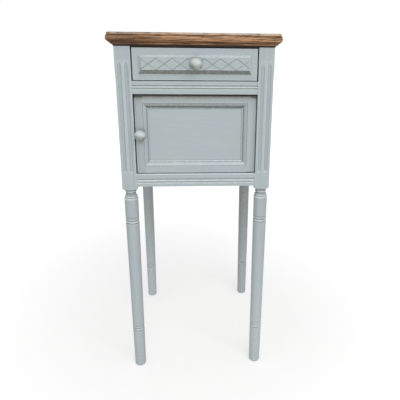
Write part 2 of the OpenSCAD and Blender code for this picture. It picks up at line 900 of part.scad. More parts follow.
module striker_screws() {
    color(steel) striker_screw_places() screw(plate_screw_r, plate_screw_len, plate_screw_head);
}

// ---- Door ----

// Tenons of a door rail whose lower edge is at z, beside the panel groove
module door_tenons(z, above_groove, extra = 0) {
    low = z + (above_groove ? door_groove : door_tenon_shoulder);
    high = z + door_rail_w - (above_groove ? door_tenon_shoulder : door_groove);
    reach = door_in_x + door_tenon_len + extra;
    span([-reach, reach], [door_panel_y, door_panel_y + door_panel_th], [low, high]);
}

module door_panel_slot() {
    span([-door_in_x - door_groove, door_in_x + door_groove],
         [door_panel_y, door_panel_y + door_panel_th],
         [door_in_z[0] - door_groove, door_in_z[1] + door_groove]);
}

// Both mortises and the groove, cut in each stile
module door_stile_cuts() {
    door_tenons(door_low_z, false, glue_room);
    door_tenons(door_in_z[1], true, glue_room);
    door_panel_slot();
}

// The hinge stile turns about its pivots, so its front edge is rounded about them
module door_hinge_stile() {
    color(paint) difference() {
        translate([0, 0, door_low_z]) linear_extrude(door_high_z - door_low_z) {
            translate([door_in_x, door_y]) square([pivot_x - door_in_x, door_th]);
            translate([door_in_x, pivot_y]) square([door_stile_w, door_th - pivot_inset]);
            translate([pivot_x, pivot_y]) circle(r = pivot_inset);
        }
        door_stile_cuts();
        door_end_places() {
            translate([0, 0, -cut_over]) linear_extrude(plate_th + cut_over) plate_outline();
            translate([pivot_x, pivot_y, 0])
                cylinder(r = pivot_pin_r + pin_hole_play, h = pivot_reach + pin_hole_room);
            translate([plate_screw_x, pivot_y, 0])
                screw_hole(plate_screw_r, plate_screw_len, plate_screw_head);
        }
    }
}

module door_latch_stile() {
    color(paint) difference() {
        span([-door_x, -door_in_x], [door_y, door_back_y], [door_low_z, door_high_z]);
        door_stile_cuts();
        door_knob_screw_place() screw_hole(screw_r, door_knob_screw_len, knob_screw_head);
        span(striker_x, [door_back_y - striker_th, door_back_y + cut_over], striker_z);
        striker_screw_places() screw_hole(plate_screw_r, plate_screw_len, plate_screw_head);
    }
}

module door_bottom_rail() {
    color(paint) difference() {
        union() {
            span([-door_in_x, door_in_x], [door_y, door_back_y], [door_low_z, door_in_z[0]]);
            door_tenons(door_low_z, false);
        }
        door_panel_slot();
    }
}

module door_top_rail() {
    color(paint) difference() {
        union() {
            span([-door_in_x, door_in_x], [door_y, door_back_y], [door_in_z[1], door_high_z]);
            door_tenons(door_in_z[1], true);
        }
        door_panel_slot();
    }
}

module door_panel() {
    reach = door_groove - panel_play;
    color(paint)
        span([-door_in_x - reach, door_in_x + reach],
             [door_panel_y, door_panel_y + door_panel_th],
             [door_in_z[0] - reach, door_in_z[1] + reach]);
}

// Section of the planted moulding, as [distance in from the frame, height above the panel]: a band
// nearly as high as the frame, a slope down to a thin quirk, and a low bead beside the panel
module moulding_section() {
    high = door_panel_in - moulding_drop;
    band_w = 4;
    back_r = 0.6;            // rounding of the band towards the frame and towards the slope
    front_r = 0.8;
    slope_w = 3;
    quirk_w = 0.5;
    quirk_z = 1.2;
    low_bead_h = 2.4;
    low_bead_r = (moulding_w - band_w - slope_w - quirk_w) / 2;
    slope_x = band_w + slope_w;
    polygon(concat(
        [[0, 0]],
        arc(back_r, high - back_r, back_r, 180, 90, 3),
        arc(band_w - front_r, high - front_r, front_r, 90, 35, 3),
        [[slope_x, low_bead_h - 0.4], [slope_x + quirk_w / 2, quirk_z]],
        arc(moulding_w - low_bead_r, low_bead_h - low_bead_r, low_bead_r, 150, 0, 8),
        [[moulding_w, 0]]
    ));
}

// A mitred length of the moulding along X, its outer edge on z = 0 and its top towards -Y
module mitred_moulding(length) {
    intersection() {
        rotate([180, -90, 0]) linear_extrude(length, center = true) moulding_section();
        rotate([90, 0, 0]) linear_extrude(3 * door_th, center = true)
            polygon([[-length / 2, 0], [length / 2, 0],
                     [length / 2 - moulding_w, moulding_w], [-length / 2 + moulding_w, moulding_w]]);
    }
}

moulding_len = 2 * door_in_x;
moulding_rise = door_in_z[1] - door_in_z[0];

module door_bottom_moulding() {
    color(paint) translate([0, door_panel_y, door_in_z[0]]) mitred_moulding(moulding_len);
}

module door_top_moulding() {
    color(paint) translate([0, door_panel_y, door_in_z[1]]) rotate([0, 180, 0]) mitred_moulding(moulding_len);
}

module door_left_moulding() {
    color(paint) translate([-door_in_x, door_panel_y, (door_in_z[0] + door_in_z[1]) / 2])
        rotate([0, 90, 0]) mitred_moulding(moulding_rise);
}

module door_right_moulding() {
    color(paint) translate([door_in_x, door_panel_y, (door_in_z[0] + door_in_z[1]) / 2])
        rotate([0, -90, 0]) mitred_moulding(moulding_rise);
}

// ---- Knobs ----

knob_screw_head = 3.6;
knob_screw_grip = 12;
door_knob_screw_len = door_th + knob_screw_grip;
drawer_knob_screw_len = drawer_front_th + plaque_th + knob_screw_grip;

// A turned knob pointing along +Z, its foot on z = 0
module knob() {
    ball_r = knob_d / 2;
    squash = 0.9;            // the ball is a little shorter than it is wide
    ball_z = knob_len - ball_r * squash;
    neck_angle = acos(knob_neck_d / knob_d);
    foot_r = knob_foot_d / 2;
    foot_arris = 0.6;
    foot_h = 1.6;
    difference() {
        rotate_extrude() polygon(concat(
            [[0, 0], [foot_r - foot_arris, 0], [foot_r, foot_arris], [foot_r, foot_h],
             [foot_r - 0.8, foot_h + 0.8], [knob_neck_d / 2, foot_h + 1.8]],
            [for (i = [0:18]) let (a = -neck_angle + (90 + neck_angle) * i / 18)
                [ball_r * cos(a), ball_z + ball_r * squash * sin(a)]]
        ));
        translate([0, 0, -cut_over]) cylinder(r = screw_r + screw_play, h = knob_screw_grip + 1 + cut_over);
    }
}

module door_knob_place() {
    translate([knob_x, door_y, knob_z]) rotate([90, 0, 0]) children();
}

module door_knob_screw_place() {
    translate([knob_x, door_back_y, knob_z]) rotate([90, 0, 0]) children();
}

module door_knob() {
    color(knob_paint) door_knob_place() knob();
}

module door_knob_screw() {
    color(steel) door_knob_screw_place() screw(screw_r, door_knob_screw_len, knob_screw_head);
}

drawer_knob_z = (drawer_front_z[0] + drawer_front_z[1]) / 2;

module drawer_knob_screw_place() {
    translate([0, drawer_front_back_y, drawer_knob_z]) rotate([90, 0, 0]) children();
}

module drawer_knob() {
    color(knob_paint) translate([0, drawer_y - plaque_th, drawer_knob_z]) rotate([90, 0, 0]) knob();
}

module drawer_knob_screw() {
    color(steel) drawer_knob_screw_place() screw(screw_r, drawer_knob_screw_len, knob_screw_head);
}

// ---- Drawer ----

// Dovetails of the left drawer side between heights z0 and z1, widening from y_base to y_end
module tails(y_base, y_end, z0, z1) {
    pitch = (z1 - z0) / tail_count;
    wide = pitch - pin_w;
    narrow = wide - 2 * abs(y_end - y_base) * tan(tail_slope);
    y_root = y_base - sign(y_end - y_base) * cut_over;
    translate([-drawer_x, 0, 0]) rotate([90, 0, 90]) linear_extrude(drawer_side_th)
        for (i = [0:tail_count - 1]) {
            mid = z0 + pitch * (i + 0.5);
            polygon([[y_root, mid - narrow / 2], [y_base, mid - narrow / 2], [y_end, mid - wide / 2],
                     [y_end, mid + wide / 2], [y_base, mid + narrow / 2], [y_root, mid + narrow / 2]]);
        }
}

drawer_side_top = drawer_side_z + drawer_side_h;
drawer_back_y = drawer_end_y - drawer_back_th;
pin_w = 6;               // wood left between two dovetails, where it is thinnest
tail_slope = 8;          // in degrees

module front_tails() {
    tails(drawer_front_back_y, drawer_front_back_y - front_tail_len, drawer_front_z[0], drawer_side_top);
}

module back_tails() {
    tails(drawer_back_y, drawer_end_y, drawer_back_z, drawer_back_z + drawer_back_h);
}

module drawer_bottom_slot() {
    x = drawer_in_x + drawer_groove;
    span([-x, x], [drawer_front_back_y - drawer_groove, drawer_end_y + cut_over],
         [drawer_bottom_z, drawer_back_z]);
}

module drawer_front() {
    color(paint) difference() {
        span([-drawer_x, drawer_x], [drawer_y, drawer_front_back_y], drawer_front_z);
        for (side = [0, 1]) mirror([side, 0, 0]) front_tails();
        drawer_bottom_slot();
        drawer_knob_screw_place() screw_hole(screw_r, drawer_knob_screw_len, knob_screw_head);
    }
}

// One incised line, rising to the right over the height and width of one cross
module incised_line(field_h, cross_w) {
    slope = atan2(field_h, cross_w);
    length = sqrt(field_h * field_h + cross_w * cross_w) + 2 * cut_over;
    rotate([0, -slope, 0]) v_groove(length, incised_cut);
}

// Raised plaque, bevelled all round. Crosses cut in its field meet at their ends and make a lattice,
// which runs out over the right end of the field.
module drawer_plaque() {
    face_y = drawer_y - plaque_th;
    half_h = (plaque_z[1] - plaque_z[0]) / 2;
    field_h = 2 * (half_h - plaque_bevel);
    field_x = plaque_x - plaque_bevel;
    pitch = (2 * field_x - cross_first - cross_last) / (cross_count - 1);
    edge_th = 0.8;
    color(paint) difference() {
        intersection() {
            translate([0, 0, plaque_z[0]]) linear_extrude(2 * half_h)
                polygon([[-plaque_x, drawer_y], [-plaque_x, drawer_y - edge_th],
                         [-plaque_x + plaque_bevel, face_y], [plaque_x - plaque_bevel, face_y],
                         [plaque_x, drawer_y - edge_th], [plaque_x, drawer_y]]);
            translate([-plaque_x, 0, plaque_z[0] + half_h]) rotate([90, 0, 90]) linear_extrude(2 * plaque_x)
                polygon([[drawer_y, -half_h], [drawer_y - edge_th, -half_h],
                         [face_y, -half_h + plaque_bevel], [face_y, half_h - plaque_bevel],
                         [drawer_y - edge_th, half_h], [drawer_y, half_h]]);
        }
        for (i = [0:cross_count - 1], side = [0, 1])
            translate([-field_x + cross_first + i * pitch, face_y, plaque_z[0] + half_h])
                mirror([side, 0, 0]) incised_line(field_h, pitch);
        drawer_knob_screw_place() screw_hole(screw_r, drawer_knob_screw_len, knob_screw_head);
    }
}

module drawer_left_side() {
    color(bare_wood) difference() {
        union() {
            span([-drawer_x, -drawer_in_x], [drawer_front_back_y, drawer_back_y],
                 [drawer_side_z, drawer_side_top]);
            span([-drawer_x, -drawer_in_x], [drawer_front_back_y, drawer_end_y],
                 [drawer_side_z, drawer_back_z]);
            front_tails();
            back_tails();
        }
        drawer_bottom_slot();
    }
}

module drawer_right_side() {
    mirror([1, 0, 0]) drawer_left_side();
}

module drawer_back() {
    color(bare_wood) difference() {
        span([-drawer_x, drawer_x], [drawer_back_y, drawer_end_y],
             [drawer_back_z, drawer_back_z + drawer_back_h]);
        for (side = [0, 1]) mirror([side, 0, 0]) back_tails();
        drawer_nail_places() screw_hole(nail_r, nail_len, nail_head);
    }
}

module drawer_bottom() {
    x = drawer_in_x + drawer_groove - panel_play;
    color(bare_wood) difference() {
        span([-x, x], [drawer_front_back_y - drawer_groove + panel_play, drawer_end_y],
             [drawer_bottom_z, drawer_back_z]);
        drawer_nail_places() screw_hole(nail_r, nail_len, nail_head);
    }
}

nail_r = 1;
nail_head = 2;
nail_grip = 14;          // length in the back
nail_len = drawer_bottom_th + nail_grip;
nail_in = 30;            // from the drawer side to the first nail
nail_x = drawer_in_x - nail_in;

module drawer_nail_places() {
    for (x = [-1, 0, 1])
        translate([x * nail_x, drawer_end_y - drawer_back_th / 2, drawer_bottom_z]) children();
}

module drawer_bottom_nails() {
    color(steel) drawer_nail_places() nail(nail_r, nail_len, nail_head);
}

top_board();
front_left_leg();
front_right_leg();
back_left_leg();
back_right_leg();
front_top_rail();
drawer_rail();
front_bottom_rail();
back_top_rail();
back_bottom_rail();
left_side_top_rail();
right_side_top_rail();
left_side_bottom_rail();
right_side_bottom_rail();
left_side_panel();
right_side_panel();
back_panel();
left_drawer_runner();
right_drawer_runner();
left_drawer_guide();
right_drawer_guide();
left_kicker();
right_kicker();
drawer_stops();
dust_board();
cupboard_floor();
left_floor_cleat();
right_floor_cleat();
top_screws();
pivot_pins();
pivot_pin_screws();
catch_case();
catch_screws();
door_hinge_stile();
door_latch_stile();
door_top_rail();
door_bottom_rail();
door_panel();
door_top_moulding();
door_bottom_moulding();
door_left_moulding();
door_right_moulding();
door_knob();
door_knob_screw();
pivot_plates();
pivot_plate_screws();
striker_plate();
striker_screws();
drawer_front();
drawer_plaque();
drawer_left_side();
drawer_right_side();
drawer_back();
drawer_bottom();
drawer_bottom_nails();
drawer_knob();
drawer_knob_screw();
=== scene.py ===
"""Bedside pot cupboard: a painted case on turned legs, one drawer over one door, waxed wooden top.

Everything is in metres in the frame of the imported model. The shapes below are worked out in
millimetres, in the same axes: X across the front, Y from front to back, Z up.
"""

import bpy
import numpy as np
from mathutils import Matrix, Vector


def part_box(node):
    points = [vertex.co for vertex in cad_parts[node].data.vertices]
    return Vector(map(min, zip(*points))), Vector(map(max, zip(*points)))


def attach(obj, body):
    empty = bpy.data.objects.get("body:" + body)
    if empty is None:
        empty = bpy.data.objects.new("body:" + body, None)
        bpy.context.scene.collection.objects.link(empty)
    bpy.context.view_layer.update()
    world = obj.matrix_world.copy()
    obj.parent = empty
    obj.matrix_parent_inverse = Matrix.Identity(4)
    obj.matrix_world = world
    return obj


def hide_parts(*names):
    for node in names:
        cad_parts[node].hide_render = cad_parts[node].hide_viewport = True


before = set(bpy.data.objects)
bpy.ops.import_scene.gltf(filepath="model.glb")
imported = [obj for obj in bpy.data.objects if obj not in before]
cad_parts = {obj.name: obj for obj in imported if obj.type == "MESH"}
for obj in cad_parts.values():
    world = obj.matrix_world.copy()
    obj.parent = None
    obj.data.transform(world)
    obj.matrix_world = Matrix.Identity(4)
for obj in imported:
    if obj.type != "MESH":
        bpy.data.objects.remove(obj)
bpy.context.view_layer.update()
scene = bpy.context.scene

# ---- Camera ----
# The photo was taken from close in front, level with the top board and looking down, and was then
# cropped, which is what the small shift of the picture's middle stands for.
eye = Vector((-0.0006, -1.1197, 0.8199))
yaw, pitch, roll = 0.0690, -0.3088, 0.0120
focal_px, centre_px, photo_px = 427.2, (224.2, 182.0), 400

camera_data = bpy.data.cameras.new("camera")
camera_data.sensor_width = 36
camera_data.lens = focal_px / photo_px * camera_data.sensor_width
camera_data.shift_x = 0.5 - centre_px[0] / photo_px
camera_data.shift_y = centre_px[1] / photo_px - 0.5
camera_data.clip_start = 0.05
look = Vector((np.sin(yaw) * np.cos(pitch), np.cos(yaw) * np.cos(pitch), np.sin(pitch)))
level = Vector((np.cos(yaw), -np.sin(yaw), 0))
upright = level.cross(look)
across = np.cos(roll) * level + np.sin(roll) * upright
rise = np.cos(roll) * upright - np.sin(roll) * level
camera = bpy.data.objects.new("camera", camera_data)
camera.matrix_world = Matrix.Translation(eye) @ Matrix((across, rise, -look)).transposed().to_4x4()
scene.collection.objects.link(camera)
scene.camera = camera

# ---- Studio ----
# White walls all round give an even light like an overcast sky. One very large soft lamp adds some
# from the front, above and to the right, and a weaker one lights the legs from low in front. The
# sweep below is white to the camera, less the shadow.


def linear(code):
    """sRGB hex colour as linear red, green, blue and alpha."""
    srgb = np.array([int(code[i:i + 2], 16) for i in (1, 3, 5)]) / 255
    low, high = srgb / 12.92, ((srgb + 0.055) / 1.055) ** 2.4
    return (*np.where(srgb <= 0.04045, low, high), 1.0)


def add(tree, kind, inputs=(), **settings):
    """Adds a node with its settings. Each input is a value, or an output of another node to link. It
    goes by its name, or by its number where names repeat: in a Map Range 0 is the value, 1 and 2 the
    range it comes from, 3 and 4 the one it goes to; in a Mix 0 is the share, 6 and 7 the colours."""
    node = tree.nodes.new(kind)
    for label, value in settings.items():
        setattr(node, label, value)
    for socket, value in dict(inputs).items():
        if isinstance(value, bpy.types.NodeSocket):
            tree.links.new(value, node.inputs[socket])
        else:
            node.inputs[socket].default_value = value
    return node


def new_material(name):
    """A material with only its output node, and that output."""
    material = bpy.data.materials.new(name)
    material.use_nodes = True
    tree = material.node_tree
    tree.nodes.clear()
    return material, tree, tree.nodes.new("ShaderNodeOutputMaterial")


def area_lamp(name, place, target, size, watts):
    """A square lamp at place that shines towards target."""
    data = bpy.data.lights.new(name, "AREA")
    data.size = size
    data.energy = watts
    lamp = bpy.data.objects.new(name, data)
    aim = (Vector(place) - Vector(target)).to_track_quat("Z", "Y").to_matrix().to_4x4()
    lamp.matrix_world = Matrix.Translation(place) @ aim
    lamp.visible_camera = False
    scene.collection.objects.link(lamp)


def seen_by_eye(tree):
    """1 for rays that the camera sends out and for their mirror reflections, 0 for all other light."""
    ray = add(tree, "ShaderNodeLightPath")
    direct, mirrored = ray.outputs["Is Camera Ray"], ray.outputs["Is Glossy Ray"]
    return add(tree, "ShaderNodeMath", {0: direct, 1: mirrored}, operation="MAXIMUM").outputs[0]


area_lamp("key_lamp", place=(1.3, -2.8, 3.0), target=(0, 0, 0.45), size=2.8, watts=40)
area_lamp("low_fill_lamp", place=(-0.1, -2.5, 0.3), target=(0, 0, 0.1), size=1.2, watts=20)

world = bpy.data.worlds.new("studio_walls")
world.use_nodes = True
world.node_tree.nodes.clear()
tree = world.node_tree
# The walls light the object half as strongly as they show to the eye
walls = add(tree, "ShaderNodeBackground", {"Color": linear("#ffffff"), "Strength": 0.5})
backdrop = add(tree, "ShaderNodeBackground", {"Color": linear("#ffffff"), "Strength": 1.0})
either = add(tree, "ShaderNodeMixShader",
             {0: seen_by_eye(tree), 1: walls.outputs[0], 2: backdrop.outputs[0]})
add(tree, "ShaderNodeOutputWorld", {"Surface": either.outputs[0]})
scene.world = world
scene.view_settings.view_transform = "Standard"

# The lamp's light on the sweep fades with distance, so the glow that makes it white grows from
# the middle outwards
floor_material, tree, output = new_material("white_sweep")
paper = add(tree, "ShaderNodeBsdfDiffuse", {"Color": linear("#dedede")})
place = add(tree, "ShaderNodeTexCoord").outputs["Object"]
distance = add(tree, "ShaderNodeVectorMath", {0: place}, operation="LENGTH").outputs["Value"]
level_of_glow = add(tree, "ShaderNodeMapRange", {0: distance, 1: 0.3, 2: 2.6, 3: 0.47, 4: 1.0})
strength = add(tree, "ShaderNodeMath", {0: seen_by_eye(tree), 1: level_of_glow.outputs[0]},
               operation="MULTIPLY")
glow = add(tree, "ShaderNodeEmission", {"Color": linear("#ffffff"), "Strength": strength.outputs[0]})
lit = add(tree, "ShaderNodeAddShader", {0: paper.outputs[0], 1: glow.outputs[0]})
tree.links.new(lit.outputs[0], output.inputs["Surface"])

floor_reach = 12.0
corners = floor_reach * np.array([[-1, -1, 0], [1, -1, 0], [1, 1, 0], [-1, 1, 0]])
floor_mesh = bpy.data.meshes.new("floor")
floor_mesh.from_pydata(corners.tolist(), [], [(0, 1, 2, 3)])
floor_mesh.materials.append(floor_material)
floor = bpy.data.objects.new("floor", floor_mesh)
scene.collection.objects.link(floor)

# ---- Legs ----
# Beech, square above and turned below, painted with an eggshell furniture paint. The front pair has
# two flutes in its square, round below and pointed above, cut with a round-nosed plane.


def put_piece(name, rings, marks, material, body, slot, *nodes):
    """A closed skin over rings of points in millimetres: each ring is joined to the next by four-sided
    faces, and the first and the last are closed by one flat face each. marks says for each point how
    much paler paint it gets on an outer edge (arris), rubbed paint and painted highlight, how much dirt
    and painted shade in a groove, gap or underside (hollow), and where the paint is gone (bare)."""
    count, around = rings.shape[:2]
    index = np.arange(count * around).reshape(count, around)
    near, far = index[:-1], index[1:]
    sides = np.stack([near, np.roll(near, -1, 1), np.roll(far, -1, 1), far], -1).reshape(-1, 4)
    ends = [index[0, ::-1].tolist(), index[-1].tolist()]
    mesh = bpy.data.meshes.new(name)
    mesh.from_pydata(rings.reshape(-1, 3) * 0.001, [], [*sides.tolist(), *ends])
    mesh.polygons.foreach_set("use_smooth", np.ones(len(mesh.polygons), bool))
    for label, values in marks.items():
        shared = np.broadcast_to(np.clip(values, 0, 1), (count, around)).ravel()
        mesh.attributes.new(label, "FLOAT", "POINT").data.foreach_set("value", shared)
    turned = np.roll(rings, -1, 1)
    facing = np.cross(turned[:-1] - rings[:-1], rings[1:] - rings[:-1])
    if (facing * ((rings[:-1] + turned[1:]) / 2 - rings.mean((0, 1)))).sum() < 0:
        mesh.flip_normals()
    mesh.set_sharp_from_angle(angle=np.deg2rad(32))
    mesh.materials.append(material)
    piece = bpy.data.objects.new(name, mesh)
    scene.collection.objects.link(piece)
    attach(piece, body)
    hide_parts(*nodes)


def brushed_paint(name, grain):
    """Eggshell furniture paint laid on with a brush along the grain axis. To the eye: a pale grey with
    a little green and blue, faint streaks along the wood, and brown wood where the paint has flaked off.
    The arrises are paler, partly rubbed paint and partly a painted highlight. Grooves, gaps and the
    undersides of parts get olive dirt mixed with painted shade, nearly black painted shade where it lies
    deepest."""
    material, tree, output = new_material(name)
    place = add(tree, "ShaderNodeTexCoord").outputs["Object"]
    stretch = [1.0, 1.0, 1.0]
    stretch[grain] = 0.05
    along = add(tree, "ShaderNodeMapping", {"Vector": place, "Scale": stretch}).outputs[0]
    # A noise's scale is how many of its spots fit in a metre. Bristle marks are under 1 mm apart in real
    # paint and are drawn 3 mm apart to show at this size; a sweep of the brush is 14 mm wide, a change
    # of tint 80 mm and a speck of wear 6 mm
    bristles = add(tree, "ShaderNodeTexNoise",
                   {"Vector": along, "Scale": 330, "Detail": 4, "Roughness": 0.65})
    sweeps = add(tree, "ShaderNodeTexNoise", {"Vector": along, "Scale": 70, "Detail": 3, "Roughness": 0.5})
    clouds = add(tree, "ShaderNodeTexNoise", {"Vector": place, "Scale": 12, "Detail": 2, "Roughness": 0.5})
    specks = add(tree, "ShaderNodeTexNoise", {"Vector": place, "Scale": 170, "Detail": 3, "Roughness": 0.7})
    hue = add(tree, "ShaderNodeMapRange", {0: clouds.outputs["Fac"], 1: 0.3, 2: 0.7})
    coat = add(tree, "ShaderNodeMix", {0: hue.outputs[0], 6: linear("#abb6b4"), 7: linear("#aab4bb")},
               data_type="RGBA")
    laid_on = add(tree, "ShaderNodeMapRange", {0: sweeps.outputs["Fac"], 1: 0.3, 2: 0.7, 3: 0.0, 4: 0.35})
    swept = add(tree, "ShaderNodeMix", {0: laid_on.outputs[0], 6: coat.outputs[2], 7: linear("#b5c0c2")},
                data_type="RGBA")
    thin = add(tree, "ShaderNodeMapRange", {0: bristles.outputs["Fac"], 1: 0.4, 2: 0.72, 3: 0.0, 4: 0.3})
    streaked = add(tree, "ShaderNodeMix", {0: thin.outputs[0], 6: swept.outputs[2], 7: linear("#96a29e")},
                   data_type="RGBA")
    # The arris mark lightens the paint, rubbed paint with a painted highlight; the hollow mark darkens it,
    # dirt with painted shade
    arris = add(tree, "ShaderNodeAttribute", attribute_name="arris").outputs["Fac"]
    hollow = add(tree, "ShaderNodeAttribute", attribute_name="hollow").outputs["Fac"]
    bare = add(tree, "ShaderNodeAttribute", attribute_name="bare").outputs["Fac"]
    broken = add(tree, "ShaderNodeMapRange", {0: specks.outputs["Fac"], 1: 0.36, 2: 0.58, 3: 0.55, 4: 1.0})
    rub_and_painted_highlight = add(tree, "ShaderNodeMath", {0: arris, 1: broken.outputs[0]}, operation="MULTIPLY")
    rubbed_and_highlit = add(tree, "ShaderNodeMix", {0: rub_and_painted_highlight.outputs[0], 6: streaked.outputs[2], 7: linear("#dbe4e6")},
                 data_type="RGBA")
    lodged = add(tree, "ShaderNodeMapRange", {0: specks.outputs["Fac"], 1: 0.35, 2: 0.6, 3: 0.95, 4: 0.6})
    dirt_and_shade_share = add(tree, "ShaderNodeMath", {0: hollow, 1: lodged.outputs[0]}, operation="MULTIPLY")
    dirtied_and_shaded = add(tree, "ShaderNodeMix", {0: dirt_and_shade_share.outputs[0], 6: rubbed_and_highlit.outputs[2], 7: linear("#5c5e50")},
                data_type="RGBA")
    deepest_dirt_and_shade = add(tree, "ShaderNodeMapRange", {0: hollow, 1: 0.86, 2: 1.0, 3: 0.0, 4: 0.93})
    blackened_dirt_and_shade = add(tree, "ShaderNodeMix",
                    {0: deepest_dirt_and_shade.outputs[0], 6: dirtied_and_shaded.outputs[2], 7: linear("#24221b")}, data_type="RGBA")
    flaked = add(tree, "ShaderNodeMapRange", {0: specks.outputs["Fac"], 1: 0.42, 2: 0.54, 3: 0.35, 4: 0.95})
    gone = add(tree, "ShaderNodeMath", {0: bare, 1: flaked.outputs[0]}, operation="MULTIPLY")
    pale_rub_and_highlight = add(tree, "ShaderNodeMix", {0: gone.outputs[0], 6: blackened_dirt_and_shade.outputs[2], 7: linear("#7d6550")},
               data_type="RGBA")
    gloss = add(tree, "ShaderNodeMapRange", {0: sweeps.outputs["Fac"], 1: 0.25, 2: 0.75, 3: 0.42, 4: 0.58})
    relief = add(tree, "ShaderNodeMath", {0: bristles.outputs["Fac"], 1: sweeps.outputs["Fac"]},
                 operation="ADD")
    bump = add(tree, "ShaderNodeBump", {"Height": relief.outputs[0], "Strength": 0.3, "Distance": 0.0006})
    skin = add(tree, "ShaderNodeBsdfPrincipled",
               {"Base Color": pale_rub_and_highlight.outputs[2], "Roughness": gloss.outputs[0], "Normal": bump.outputs[0],
                "IOR": 1.48})
    tree.links.new(skin.outputs[0], output.inputs["Surface"])
    return material


paint_x = brushed_paint("eggshell_paint_brushed_across", 0)
paint_y = brushed_paint("eggshell_paint_brushed_front_to_back", 1)
paint_z = brushed_paint("eggshell_paint_brushed_upright", 2)

# Places of the legs' axes, then half the width of a leg, its height and the rounding of its corners
leg_x, front_leg_y, back_leg_y = 154, -154, 184
leg_half, leg_top, leg_arris_r = 17.0, 817.0, 1.1
# Heights of the two turned rings, and the depth and distance of the three grooves in each
ring_heights = (118.0, 419.8)
ring_cut, ring_pitch = 1.7, 6.6
# A flute's distance from the leg's axis, its half width and depth, the heights between which it has its
# full width, the length of its point, and the radius of its round bottom
flute_x, flute_half_w, flute_cut = 7.35, 4.65, 2.4
flute_low, flute_high, flute_point = 544.65, 777.0, 10.0
flute_r = (flute_half_w ** 2 + flute_cut ** 2) / (2 * flute_cut)
# How much light paint is rubbed on a flute's long edges and on the corners of the square
flute_wear, corner_wear = 0.42, 0.35


def arc(centre, radius, start, end, steps):
    """Points of an arc, as height and distance from the axis. Angles are in degrees from the outward
    direction, positive upwards."""
    turn = np.deg2rad(np.linspace(start, end, steps))
    return np.stack([centre[0] + radius * np.sin(turn), centre[1] + radius * np.cos(turn)], 1)


def turned_outline():
    """Heights and radii up the turned part: rounded foot, tapered shaft, two rings of three grooves
    with full beads between them, drum, lip, flare, collar, neck and the round shoulder under the
    square."""
    wave = np.linspace(-1, 1, 33)

    def ring(middle, radius):
        bead = np.abs(np.sin(np.pi * wave)) ** 0.6
        grooves = np.stack([middle + ring_pitch * wave, radius - ring_cut * (1 - bead)], 1)
        edge = ring_pitch + np.array([[4.4], [2.8], [1.2], [0.4]])
        rims = np.array([[radius], [radius], [radius], [radius - ring_cut / 2]])
        low_rim, high_rim = np.hstack([middle - edge, rims]), np.hstack([middle + edge, rims])[::-1]
        return np.concatenate([low_rim, grooves, high_rim])

    foot = arc((4.5, 9.4), 4.5, -90, 0, 8)
    low_ring, high_ring = ring(ring_heights[0], 14.7), ring(ring_heights[1], 16.0)
    shaft = [[200, 15.0], [300, 15.5]]
    drum = np.concatenate([[[474.4, 16.2]], arc((476.6, 14.1), 2.2, 0, 60, 6)])
    lip = [[479.5, 14.0], [480.6, 14.9], [482.2, 15.0]]
    sweep = np.deg2rad(np.linspace(90, 0, 9))
    flare = np.stack([489.0 - 6.0 * np.sin(sweep), 12.0 + 2.8 * (1 - np.cos(sweep))], 1)
    collar = np.concatenate([[[490.2, 12.0]], arc((492.4, 11.6), 2.0, -65, 65, 9)])
    neck = [[494.7, 12.2], [497.9, 12.2], [498.0, 17.0]]
    shoulder = arc((505.0, 17.1), 7.0, -90, 0, 9)
    return np.concatenate([foot, low_ring, shaft, high_ring, drum, lip, flare, collar, neck, shoulder])


def close_to(values, places, reach):
    """1 at each of the places, falling evenly to 0 a reach away from it."""
    away = np.abs(np.asarray(values)[..., None] - np.asarray(places)).min(-1)
    return np.clip(1 - away / reach, 0, 1)


def turned_marks(heights):
    """Arris and hollow values up the turned part. Paler paint lies on the beads of the rings, most on the
    lower one, and on the edges of drum, lip and collar: rubbed paint and a painted highlight where they
    face up. Dirt and painted shade lie in the grooves of the rings, on both sides of the lip and the
    collar, and under the shoulder."""
    rings = np.array(ring_heights)
    arris = 1.1 * close_to(heights, rings - 3.7, 3.2) + 0.6 * close_to(heights, rings + 2.6, 2.0)
    arris = arris + 0.5 * close_to(heights, rings - 9.2, 1.9)
    hollow = 1.1 * close_to(heights, rings, 1.5) + 0.35 * close_to(heights, rings + 6.6, 1.3)
    hollow = hollow + 0.6 * close_to(heights, rings - 7.0, 1.3)
    rubbed_and_lit_at = [474.6, 476.4, 478.2, 478.7, 480.1, 480.7, 482.4, 483.6, 490.8, 492, 493, 494.2]
    dirty_and_shaded_at = [478.5, 479.5, 480.6, 485, 487.5, 490.2, 491.2, 493.8, 494.7, 498, 499.6]
    arris += np.interp(heights, rubbed_and_lit_at, [0, 0.9, 1, 0, 0, 1.3, 1.3, 0, 0, 0.9, 0.9, 0])
    hollow += np.interp(heights, dirty_and_shaded_at, [0, 0.95, 0, 0, 0.5, 0.9, 0, 0, 0.5, 0.5, 0])
    return arris, hollow


def flute_width(z):
    """Half width of a flute at each height and the radius of its round section there: a ball's at the
    lower end, a cone's at the upper end."""
    below = np.clip(flute_low - z, 0, flute_r)
    above = np.clip((z - flute_high) / flute_point, 0, 1)
    radius = np.sqrt(flute_r ** 2 - below ** 2) - flute_cut * above
    return np.sqrt(np.clip(radius ** 2 - (flute_r - flute_cut) ** 2, 0, None)), radius


